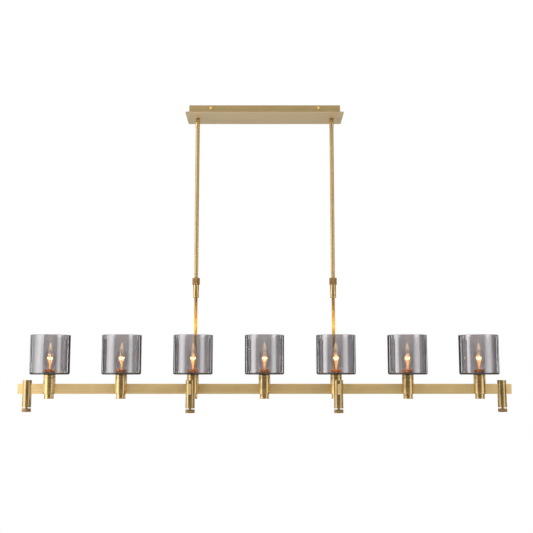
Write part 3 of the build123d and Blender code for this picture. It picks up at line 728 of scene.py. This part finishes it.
# CAD nodes that stay in view, by the finish that they get
kept_nodes = {
    "brass_canopy_tray": ("canopy_tray",),
    "brass_canopy_plate": ("canopy_plate",),
    "brass_brushed_along_row": ("main_bar", "bar_end_caps"),
    "brass_brushed_across_row": ("cross_bar_left", "cross_bar_right"),
    "brass_knuckle": ("knuckle_fork_left", "knuckle_fork_right"),
    "brass_turned": ("knuckle_tongue_left", "knuckle_tongue_right", "stem_socket_left", "stem_socket_right"),
    "brass_polished_screw": ("canopy_screws",),
    "steel_zinc": ("ceiling_bracket", "ground_screw", "fork_nuts", "knuckle_pivots", "frame_screws",
                   "lamp_bolts"),
    "wire_cover": ("canopy_leads", "bar_wiring"),
    "plastic_connector": ("wire_connectors",),
    "nylon_collet": ("stem_collets",),
    "rubber_gasket": ("shade_gaskets",),
    "ceramic_holder": ("lamp_holders",),
    "brass_bulb_base": ("bulb_bases",),
}


def finish(name):
    """Material of this name, made when it is first asked for."""
    if name not in bpy.data.materials:
        maker, *values = finishes[name]
        maker(name, *values)
    return bpy.data.materials[name]


class CHANDELIER_OT_dress_frame(Operator):
    """Give every CAD node that stays in view its procedural material"""

    bl_idname = "chandelier.dress_frame"
    bl_label = "Dress the frame"

    def execute(self, context):
        for finish_name, nodes in kept_nodes.items():
            for node in nodes:
                for slot in cad_nodes[node].material_slots:
                    slot.material = finish(finish_name)
        return {"FINISHED"}


# Pieces

def softened(name, outline, axis, edge_share=1.0):
    """Turned brass piece whose hard edges are rounded."""
    settings = bpy.context.scene.chandelier_brass
    return round_edges(turned(name, outline, axis, settings.steps), edge_share * settings.edge_round)


def tube(name, node, bore, finish_name, body):
    """Upright tube in place of a CAD node."""
    axis, radius, low, high = form_of(node)
    outline = [(bore, low), (radius, low), (radius, high), (bore, high), (bore, low)]
    place(smooth(softened(name, outline, axis, 0.5)), finish_name, body, "brushed_brass", node)


def collar_thread(side):
    """Radius of the bore round an upper rod, and of the ferrule's nose that the collar turns on."""
    nose_share = 0.62
    rod = radius_of("upper_rod_" + side) + running_clearance
    return rod, rod + (radius_of("ferrule_" + side) - rod) * nose_share


def slot_half():
    """Half the width of a slot that a bar lies in."""
    return radius_of("main_bar") + 2 * running_clearance


def cut_slot(piece, axis, reach_x, reach_y, low, high):
    """Cut a slot across a piece, between two heights."""
    corner = Vector((reach_x, reach_y, 0.0))
    cut(piece, block(Vector((axis.x, axis.y, low)) - corner, Vector((axis.x, axis.y, high)) + corner))


def knurled(name, axis, radius, low, high, below, above):
    """Turned piece with a knurled side between two heights, and the rest of its outline below and above."""
    settings = bpy.context.scene.chandelier_knurl
    chamfer = settings.chamfer
    root = radius - settings.depth
    band_low = low + chamfer + settings.rim
    band_high = high - chamfer - settings.rim
    rows = max(2, round((band_high - band_low) / settings.pitch))
    around = 2 * round(math.tau * radius / settings.pitch / 2)
    side = [(radius - chamfer, low), (radius, low + chamfer), (radius, band_low - settings.depth)]
    side += [(root, band_low + (band_high - band_low) * row / rows) for row in range(rows + 1)]
    side += [(radius, band_high + settings.depth), (radius, high - chamfer), (radius - chamfer, high)]
    piece = turned(name, below + side + above, axis, around)
    raise_diamonds(piece, axis, root, band_low, (band_high - band_low) / rows, math.tau / around, rows)
    return smooth(piece)


def raise_diamonds(piece, axis, root, low, row_height, slice_angle, rows):
    """Raise every second point of the band's grid, so that the band turns into diamonds."""
    settings = bpy.context.scene.chandelier_knurl
    only(piece)
    bpy.ops.object.mode_set(mode="EDIT")
    bpy.ops.mesh.select_mode(type="VERT")
    bpy.ops.mesh.select_all(action="DESELECT")
    bpy.ops.object.mode_set(mode="OBJECT")
    for vertex in piece.data.vertices:
        away = Vector((vertex.co.x - axis.x, vertex.co.y - axis.y))
        row = round((vertex.co.z - low) / row_height)
        if abs(away.length - root) > weld_distance or not 0 < row < rows:
            continue
        column = round(math.atan2(away.y, away.x) / slice_angle)
        vertex.select = (row + column) % 2 == 0
    bpy.ops.object.mode_set(mode="EDIT")
    grow = (root + settings.depth) / root
    bpy.ops.transform.resize(value=(grow, grow, 1.0), center_override=(axis.x, axis.y, 0.0))
    bpy.ops.mesh.select_all(action="SELECT")
    bpy.ops.mesh.quads_convert_to_tris(quad_method="SHORTEST_DIAGONAL")
    bpy.ops.object.mode_set(mode="OBJECT")


class CHANDELIER_OT_rods(Operator):
    """Upper rods: drawn tubes with softened ends"""

    bl_idname = "chandelier.rods"
    bl_label = "Upper rods"

    def execute(self, context):
        collet = radius_of("stem_collets") - 2 * context.scene.chandelier_brass.edge_round
        for side in sides:
            node = "upper_rod_" + side
            tube("rod_" + side, node, collet - radius_of(node) / 8, "brass_drawn_rod", "upper_stems")
        return {"FINISHED"}


class CHANDELIER_OT_stems(Operator):
    """Lower stems: polished tubes that slide in the rods"""

    bl_idname = "chandelier.stems"
    bl_label = "Lower stems"

    def execute(self, context):
        for side in sides:
            node = "lower_stem_" + side
            tube("stem_" + side, node, 0.7 * radius_of(node), "brass_polished_stem", "light_frame")
        return {"FINISHED"}


class CHANDELIER_OT_ferrules(Operator):
    """Ferrules under the collars, with a lip below and a threaded nose above"""

    bl_idname = "chandelier.ferrules"
    bl_label = "Ferrules"
    lip: length("Lip", "Height of the lip that holds the gripping ring", 4.0 * millimetre)

    def execute(self, context):
        for side in sides:
            node = "ferrule_" + side
            axis, radius, low, nose_top = form_of(node)
            rod, nose = collar_thread(side)
            stem = radius_of("lower_stem_" + side) + loose_gap
            shoulder = span_of("collar_" + side)[0] - loose_gap
            outline = [(stem, low), (radius, low), (radius, shoulder), (nose, shoulder), (nose, nose_top),
                       (rod, nose_top), (rod, low + self.lip), (stem, low + self.lip), (stem, low)]
            ferrule = softened("ferrule_sleeve_" + side, outline, axis)
            place(smooth(ferrule), "brass_turned", "upper_stems", "brushed_brass", node)
        return {"FINISHED"}


class CHANDELIER_OT_collars(Operator):
    """Knurled collars that lock the height"""

    bl_idname = "chandelier.collars"
    bl_label = "Locking collars"

    def execute(self, context):
        for side in sides:
            node = "collar_" + side
            axis, radius, low, high = form_of(node)
            rod, nose = collar_thread(side)
            nose += running_clearance
            step = span_of("ferrule_" + side)[1] + loose_gap
            collar = knurled("collar_knurled_" + side, axis, radius, low, high, [(nose, low)],
                             [(rod, high), (rod, step), (nose, step), (nose, low)])
            place(collar, "brass_knurled", "collar_" + side, "knurled_brass", node)
        return {"FINISHED"}


class CHANDELIER_OT_posts(Operator):
    """Round posts that straddle the bars"""

    bl_idname = "chandelier.posts"
    bl_label = "Posts"

    def execute(self, context):
        bar_low, bar_high = span_of("main_bar")
        for name in post_names:
            node = "post_" + name
            axis, radius, low, high = form_of(node)
            bore = 0.24 * radius
            outline = [(0.0, bar_low), (bore, bar_low), (bore, low), (radius, low), (radius, high), (0.0, high)]
            post = softened("post_turned_" + name, outline, axis)
            reach = (2 * radius, slot_half()) if name.startswith("end") else (slot_half(), 2 * radius)
            cut_slot(post, axis, *reach, bar_low - running_clearance, bar_high + running_clearance)
            place(smooth(post), "brass_posts", "light_frame", "brushed_brass", node)
        return {"FINISHED"}


class CHANDELIER_OT_knobs(Operator):
    """Knurled thumb knobs with their screws"""

    bl_idname = "chandelier.knobs"
    bl_label = "Thumb knobs"
    height: length("Height", "Height of the knurled head", 10.0 * millimetre)
    dish: length("Dish", "Depth of the shallow dish under the head", 0.8 * millimetre)

    def execute(self, context):
        for name in post_names:
            node = "knob_" + name
            axis, radius, low, screw_top = form_of(node)
            screw = 0.22 * radius
            top = low + self.height
            dish = [(0.0, low + self.dish), (0.62 * radius, low + self.dish), (0.70 * radius, low)]
            knob = knurled("knob_knurled_" + name, axis, radius, low, top, dish,
                           [(screw, top), (screw, screw_top), (0.0, screw_top)])
            place(knob, "brass_knurled", "knob_" + name, "knurled_brass", node)
        return {"FINISHED"}


class CHANDELIER_OT_lamp_bodies(Operator):
    """Turned lamp bodies with a neck inside each shade, cut out over the bars"""

    bl_idname = "chandelier.lamp_bodies"
    bl_label = "Lamp bodies"
    wall: length("Wall", "Wall round the hollow over the bar", 3.0 * millimetre)
    groove_drop: length("Groove drop", "Shoulder to groove", 5.5 * millimetre)
    groove: length("Groove", "Width and depth of the groove", 0.7 * millimetre)

    def execute(self, context):
        axis, radius, low, neck_top = form_of("lamp_body_1")
        bar_top = span_of("main_bar")[1]
        shoulder = span_of("shade_gaskets")[0]
        neck = radius_of("shade_gaskets") - self.wall + context.scene.chandelier_brass.edge_round
        holder = radius_of("lamp_holders") + running_clearance
        seat = span_of("lamp_holders")[0]
        hollow = radius - self.wall
        roof = bar_top + self.wall
        groove_root = radius - self.groove
        groove_high = shoulder - self.groove_drop
        groove_low = groove_high - self.groove
        outline = [(0.0, roof), (hollow, roof), (hollow, low), (radius, low), (radius, groove_low),
                   (groove_root, groove_low), (groove_root, groove_high), (radius, groove_high),
                   (radius, shoulder), (neck, shoulder), (neck, neck_top), (holder, neck_top), (holder, seat),
                   (0.0, seat)]
        master = softened("lamp_body_master", outline, axis, 0.5)
        for number in lamp_numbers:
            node = "lamp_body_%d" % number
            here = Vector((centre(node).x, axis.y))
            body = copy_to(master, "lamp_body_turned_%d" % number, centre(node) - axis)
            crossed = any(abs(here.x - centre("cross_bar_" + side).x) < slot_half() for side in sides)
            for reach in [(2 * radius, slot_half())] + ([(slot_half(), 2 * radius)] if crossed else []):
                cut_slot(body, here, *reach, low - self.wall, bar_top + running_clearance)
            place(smooth(body), "brass_turned", "light_frame", "brushed_brass", node)
        bpy.data.objects.remove(master)
        return {"FINISHED"}


class CHANDELIER_OT_lamp_caps(Operator):
    """Round caps under the bar"""

    bl_idname = "chandelier.lamp_caps"
    bl_label = "Lamp caps"

    def execute(self, context):
        radius = radius_of("lamp_caps")
        low, high = span_of("lamp_caps")
        outline = [(0.0, low), (radius, low), (radius, high), (0.0, high)]
        cap = softened("lamp_cap_master", outline, lamp_axis(1))
        row_of(smooth(cap), "lamp_cap_turned", "brass_turned", "brushed_brass", "lamp_caps")
        return {"FINISHED"}


class CHANDELIER_OT_shades(Operator):
    """Smoked glass cups, open at the top, with a hole for the neck in the floor"""

    bl_idname = "chandelier.shades"
    bl_label = "Glass shades"

    def execute(self, context):
        settings = context.scene.chandelier_glass
        radius = radius_of("shade_1")
        low, high = span_of("shade_1")
        inner = radius - settings.wall
        floor = low + settings.wall
        hole = radius_of("shade_gaskets") - settings.wall + 0.6 * millimetre
        points = settings.arc_points
        rim = min(settings.rim, 0.45 * settings.wall)
        inner_corner = settings.corner - settings.wall
        outline = [(hole, floor), (hole, low)]
        outline += arc(radius - settings.corner, low + settings.corner, settings.corner, -90, 0, points)
        outline += arc(radius - rim, high - rim, rim, 0, 90, points)
        outline += arc(inner + rim, high - rim, rim, 90, 180, points)
        outline += arc(inner - inner_corner, floor + inner_corner, inner_corner, 0, -90, points)
        outline += [(hole, floor)]
        shade = turned("shade_master", outline, lamp_axis(1), settings.steps)
        row_of(smooth(shade), "shade_glass", "glass_smoked", "smoked_glass", "shade_{}")
        return {"FINISHED"}


class CHANDELIER_OT_rings(Operator):
    """Dark threaded rings that hold the glass from inside"""

    bl_idname = "chandelier.rings"
    bl_label = "Shade rings"

    def execute(self, context):
        radius = radius_of("shade_rings")
        low, high = span_of("shade_rings")
        neck_top = span_of("lamp_body_1")[1]
        neck = radius_of("shade_gaskets") - 2.6 * millimetre
        mouth = radius_of("lamp_holders") + 0.4 * millimetre
        outline = [(neck, low), (radius, low), (radius, high), (mouth, high), (mouth, neck_top),
                   (neck, neck_top), (neck, low)]
        ring = softened("shade_ring_master", outline, lamp_axis(1))
        row_of(smooth(ring), "shade_ring_turned", "brass_dark_ring", "dark_brass", "shade_rings")
        return {"FINISHED"}


class CHANDELIER_OT_bulbs(Operator):
    """Clear flame-tip envelopes of the candle bulbs"""

    bl_idname = "chandelier.bulbs"
    bl_label = "Bulb glass"

    def execute(self, context):
        settings = context.scene.chandelier_bulb
        belly = radius_of("bulb_glass")
        low, high = span_of("bulb_glass")
        tall = high - low
        shape = [(settings.neck_share, 0.0), (0.52, 0.10), (0.86, 0.25), (1.0, 0.42), (0.88, 0.58),
                 (0.62, 0.73), (0.36, 0.85), (0.17, 0.94), (0.09, 0.985), (0.0, 1.0)]
        outline = flowing([(belly * share, low + tall * level) for share, level in shape], 4)
        bulb = turned("bulb_master", outline, lamp_axis(1), settings.steps)
        apply_modifier(bulb, "SOLIDIFY", thickness=settings.wall, offset=-1.0)
        bulb.visible_shadow = False
        row_of(smooth(bulb), "bulb_envelope", "glass_clear", "clear_glass", "bulb_glass")
        return {"FINISHED"}


def filament_width(settings, climb):
    """Width of the filament at a height over its foot, as a share of its width at the top."""
    return settings.foot_share + (1 - settings.foot_share) * climb / settings.leg_height


def coiled_legs(axis, low, settings):
    """Points of one coiled wire that runs up and down the filament's legs."""
    steps = settings.coil_steps
    points = []
    for leg in range(settings.leg_count):
        share = leg / (settings.leg_count - 1) - 0.5
        tall = 1.0 - (1.0 - settings.outer_share) * 2 * abs(share)
        for step in range(int(settings.leg_height / settings.coil_pitch * steps) + 1):
            angle = math.tau * step / steps
            climb = settings.coil_pitch * step / steps
            climb = climb if leg % 2 == 0 else settings.leg_height - climb
            away = filament_width(settings, climb) * (settings.leg_spread * share)
            z = low + settings.leg_height / 2 + tall * (climb - settings.leg_height / 2)
            points.append(Vector((axis.x + away + settings.coil_radius * math.cos(angle),
                                  axis.y + settings.coil_radius * math.sin(angle), z)))
    return points


def wire(name, points, radius):
    """Round wire through points, as a mesh."""
    deselect()
    bpy.ops.curve.primitive_bezier_curve_add()
    piece = name_piece(bpy.context.object, name)
    curve = piece.data
    curve.splines.clear()
    spline = curve.splines.new("POLY")
    spline.points.add(len(points) - 1)
    for point, target in zip(spline.points, points):
        point.co = (*target, 1.0)
    curve.dimensions = "3D"
    curve.bevel_depth = radius
    curve.bevel_resolution = 1
    curve.use_fill_caps = True
    only(piece)
    bpy.ops.object.convert(target="MESH")
    return settle(name_piece(bpy.context.object, name))


class CHANDELIER_OT_filaments(Operator):
    """Lit coiled filaments on their glass mounts and support wires"""

    bl_idname = "chandelier.filaments"
    bl_label = "Filaments"
    mount_share: factor("Mount", "Mount height as a share of the whole", 0.60, 0.1)

    def execute(self, context):
        settings = context.scene.chandelier_bulb
        axis = lamp_axis(1)
        low, high = span_of("bulb_filaments")
        radius = 0.22 * radius_of("bulb_glass")
        mount_top = low + (high - low) * self.mount_share
        flare = low + 0.25 * (mount_top - low)
        outline = [(0.0, low), (radius, low), (0.62 * radius, flare), (0.55 * radius, mount_top - radius),
                   (0.9 * radius, mount_top - 0.5 * radius), (0.75 * radius, mount_top), (0.0, mount_top)]
        mount = turned("bulb_mount_master", outline, axis, 24)
        leg_low = high - 0.8 * settings.leg_height
        coil = wire("filament_master", coiled_legs(axis, leg_low, settings), settings.wire_radius)
        supports = []
        for leg in range(settings.leg_count + 1):
            share = leg / settings.leg_count - 0.5
            foot = Vector((axis.x + 0.8 * radius * share, axis.y, mount_top - radius / 2))
            climb = 0.0 if leg in (0, settings.leg_count) else settings.leg_height * (leg % 2)
            head = Vector((axis.x + settings.leg_spread * share * filament_width(settings, climb), axis.y,
                           leg_low + climb))
            waist = Vector((head.x, axis.y, (foot.z + leg_low) / 2))
            supports.append(wire("support_master", [foot, waist, head], settings.wire_radius))
        only(mount)
        for piece in supports:
            piece.select_set(True)
        bpy.ops.object.join()
        row_of(smooth(mount), "bulb_mount", "glass_mount", "filament", "bulb_filaments")
        row_of(coil, "bulb_coil", "filament_lit", "filament", "bulb_filaments")
        return {"FINISHED"}


# Stage

def steps_of_light(tree, stops, source, output, tint=(1.0, 1.0, 1.0)):
    """Colour ramp of levels at places from 0 to 1, in one tint or a stop's own, fed from a node's output."""
    ramp = tree.nodes.new("ShaderNodeValToRGB")
    join(tree, source, output, ramp, "Fac")
    elements = ramp.color_ramp.elements
    while len(elements) > 1:
        elements.remove(elements[-1])
    for index, (position, level, *own_tint) in enumerate(stops):
        element = elements[0] if index == 0 else elements.new(position)
        element.position = position
        element.color = (*(level * value for value in (own_tint[0] if own_tint else tint)), 1.0)
    return ramp


def both_sides(stops):
    """Stops right round the row, from stops by how many degrees they lie away from the front."""
    return ([(0.5 - angle / 360, *rest) for angle, *rest in reversed(stops)]
            + [(0.5 + angle / 360, *rest) for angle, *rest in stops])


def studio_room(tree, settings):
    """Colour of the room by direction: dark at eye level with bright strips, lighter above and below."""
    axes = split_axes(tree, tree.nodes.new("ShaderNodeTexCoord"), "Generated")
    forward = calculate(tree, "MULTIPLY", (axes, "Y"), -1.0)
    turn = calculate(tree, "ARCTAN2", (axes, "X"), (forward, 0))
    direction = remap(tree, turn, 0, -math.pi, math.pi)
    white_light = (1.0, 1.0, 1.0)
    wall = [(180, settings.back)]
    strips = [(angle + step, bright, white_light) for angle in (111, 135)
              for step, bright in ((-7, 0.0), (0, settings.strips), (7, 0.0))] + [(158, 0.0, white_light)]
    middle = steps_of_light(tree, both_sides([(85, settings.eye_level)] + strips + [(168, settings.back)] + wall),
                            direction, "Result", settings.room_tone)
    around = steps_of_light(tree, both_sides([(60, settings.front), (80, settings.sides), (130, settings.sides),
                                              (150, settings.back)] + wall),
                            direction, "Result", settings.room_tone)
    height = remap(tree, axes, "Z", -1.0, 1.0)
    band = steps_of_light(tree, [(0.0, 1.0), (0.43, 1.0), (0.47, 0.0), (0.545, 0.0), (0.58, 1.0), (1.0, 1.0)],
                          height, "Result")
    colour = mix_tones(tree, band, "Color", middle.outputs["Color"], around.outputs["Color"])
    for level, start, end in ((settings.above, 0.45, 0.65), (settings.below, -0.05, -0.60)):
        colour = mix_tones(tree, remap(tree, axes, "Z", start, end), "Result", colour, (level,) * 3)
    return colour


def background(tree, colour, strength):
    """Even light of one colour from all round."""
    return add_node(tree, "ShaderNodeBackground", {"Color": (*colour, 1.0), "Strength": strength})


def mix_shaders(tree, share, first, second):
    """Shader from the first to the second by a value."""
    mix = tree.nodes.new("ShaderNodeMixShader")
    for index, node in enumerate((share, first, second)):
        join(tree, node, 0, mix, index)
    return mix


def studio_world(settings):
    """White ground for the eye and through glass, even fill, and a studio that metal and glass reflect."""
    world = bpy.data.worlds.new("Studio")
    bpy.context.scene.world = world
    world.use_nodes = True
    tree = world.node_tree
    tree.nodes.clear()
    white = background(tree, (1.0, 1.0, 1.0), 1.0)
    fill = background(tree, (1.0, 0.99, 0.97), settings.fill)
    studio = background(tree, (1.0, 1.0, 1.0), 1.0)
    tree.links.new(studio_room(tree, settings), studio.inputs["Color"])
    path = tree.nodes.new("ShaderNodeLightPath")
    bounced = calculate(tree, "ADD", (path, "Glossy Depth"), (path, "Diffuse Depth"))
    straight = calculate(tree, "SUBTRACT", 1.0, (bounced, 0), clamp=True)
    through = calculate(tree, "MULTIPLY", (path, "Is Transmission Ray"), (straight, 0))
    seen = calculate(tree, "MAXIMUM", (path, "Is Camera Ray"), (through, 0))
    reflected = calculate(tree, "ADD", (path, "Is Glossy Ray"), (path, "Is Transmission Ray"), clamp=True)
    whole_world = mix_shaders(tree, seen, mix_shaders(tree, reflected, fill, studio), white)
    join(tree, whole_world, 0, tree.nodes.new("ShaderNodeOutputWorld"), "Surface")


def light_panel(name, start, end, height, level):
    """Tall light panel that stands on a line from start to end and faces the row, softer at its sides."""
    start, end = Vector(start), Vector(end)
    middle = (start + end) / 2
    along = (end - start).normalized()
    facing = Vector((-along.y, along.x, 0.0))
    if facing.dot(middle) > 0:
        facing = -facing
    width = (end - start).length
    deselect()
    bpy.ops.object.light_add(type="AREA", location=(middle.x, middle.y, (cad_low.z + cad_high.z) / 2))
    lamp = bpy.context.object
    lamp.name = name
    lamp.data.shape = "RECTANGLE"
    lamp.data.size = width
    lamp.data.size_y = height
    lamp.data.energy = math.pi * width * height * level
    lamp.rotation_euler = facing.to_track_quat("-Z", "Y").to_euler()
    lamp.visible_transmission = False
    lamp.data.use_nodes = True
    tree = lamp.data.node_tree
    axes = split_axes(tree, tree.nodes.new("ShaderNodeNewGeometry"), "Parametric")
    across = steps_of_light(tree, [(0.0, 0.15), (0.2, 0.65), (0.5, 1.0), (0.8, 0.65), (1.0, 0.15)], axes, "X")
    join(tree, across, "Color", tree.nodes["Emission"], "Strength")


def pale_floor(settings):
    """Plain pale floor under the chandelier."""
    deselect()
    bpy.ops.mesh.primitive_grid_add(x_subdivisions=8, y_subdivisions=8, size=settings.floor_size,
                                    location=(0.0, 0.0, -settings.floor_drop))
    floor = settle(name_piece(bpy.context.object, "floor"))
    floor.data.materials.append(finish("floor_pale"))


def bulb_light(name, axis, settings):
    """Light that one bulb throws, at the height of its filament."""
    deselect()
    bpy.ops.object.light_add(type="POINT", location=(axis.x, axis.y, span_of("bulb_filaments")[1]))
    lamp = bpy.context.object
    lamp.name = name
    lamp.data.energy = settings.lamp_power
    lamp.data.color = settings.lamp_tone
    lamp.data.shadow_soft_size = settings.leg_spread / 2
    lamp.visible_transmission = False
    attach(lamp, "light_frame")


class CHANDELIER_OT_stage(Operator):
    """Camera, white ground, pale floor, soft lamps and the light that the bulbs throw"""

    bl_idname = "chandelier.stage"
    bl_label = "Stage"

    def execute(self, context):
        scene = context.scene
        settings = scene.chandelier_studio
        scene.view_settings.view_transform = "Standard"
        deselect()
        bpy.ops.object.camera_add(location=settings.eye, rotation=(math.pi / 2 + settings.pitch, 0.0, 0.0))
        camera = context.object
        camera.name = "camera"
        camera.data.sensor_width = 36.0
        camera.data.lens = settings.lens
        scene.camera = camera
        studio_world(settings)
        light_panel("panel_left", (-1.03, -1.03, 0.0), (-1.20, 0.07, 0.0), settings.panel_height,
                    settings.left_panel)
        light_panel("panel_right", (1.20, -1.58, 0.0), (2.20, -0.73, 0.0), settings.panel_height,
                    settings.right_panel)
        pale_floor(settings)
        for number in lamp_numbers:
            bulb_light("bulb_light_%d" % number, lamp_axis(number), scene.chandelier_bulb)
        return {"FINISHED"}


class CHANDELIER_PT_panel(Panel):
    """Every step of the chandelier, in order"""

    bl_idname = "CHANDELIER_PT_panel"
    bl_label = "Linear chandelier"
    bl_space_type = "VIEW_3D"
    bl_region_type = "UI"
    bl_category = "Chandelier"

    def draw(self, context):
        for step in steps_in_order:
            self.layout.operator(step.bl_idname)


steps_in_order = (
    CHANDELIER_OT_dress_frame,
    CHANDELIER_OT_rods,
    CHANDELIER_OT_stems,
    CHANDELIER_OT_ferrules,
    CHANDELIER_OT_collars,
    CHANDELIER_OT_posts,
    CHANDELIER_OT_knobs,
    CHANDELIER_OT_lamp_bodies,
    CHANDELIER_OT_lamp_caps,
    CHANDELIER_OT_shades,
    CHANDELIER_OT_rings,
    CHANDELIER_OT_bulbs,
    CHANDELIER_OT_filaments,
    CHANDELIER_OT_stage,
)
settings_groups = {
    "chandelier_brass": BrassSettings,
    "chandelier_glass": GlassSettings,
    "chandelier_bulb": BulbSettings,
    "chandelier_knurl": KnurlSettings,
    "chandelier_studio": StudioSettings,
}


def register():
    """Register settings, operators and panel."""
    for name, group in settings_groups.items():
        bpy.utils.register_class(group)
        setattr(bpy.types.Scene, name, PointerProperty(type=group))
    for step in steps_in_order:
        bpy.utils.register_class(step)
    bpy.utils.register_class(CHANDELIER_PT_panel)


def unregister():
    """Take all of it out again."""
    bpy.utils.unregister_class(CHANDELIER_PT_panel)
    for step in reversed(steps_in_order):
        bpy.utils.unregister_class(step)
    for name, group in settings_groups.items():
        delattr(bpy.types.Scene, name)
        bpy.utils.unregister_class(group)


def main():
    register()
    for step in steps_in_order:
        family, action = step.bl_idname.split(".")
        getattr(getattr(bpy.ops, family), action)()


if __name__ == "__main__":
    main()
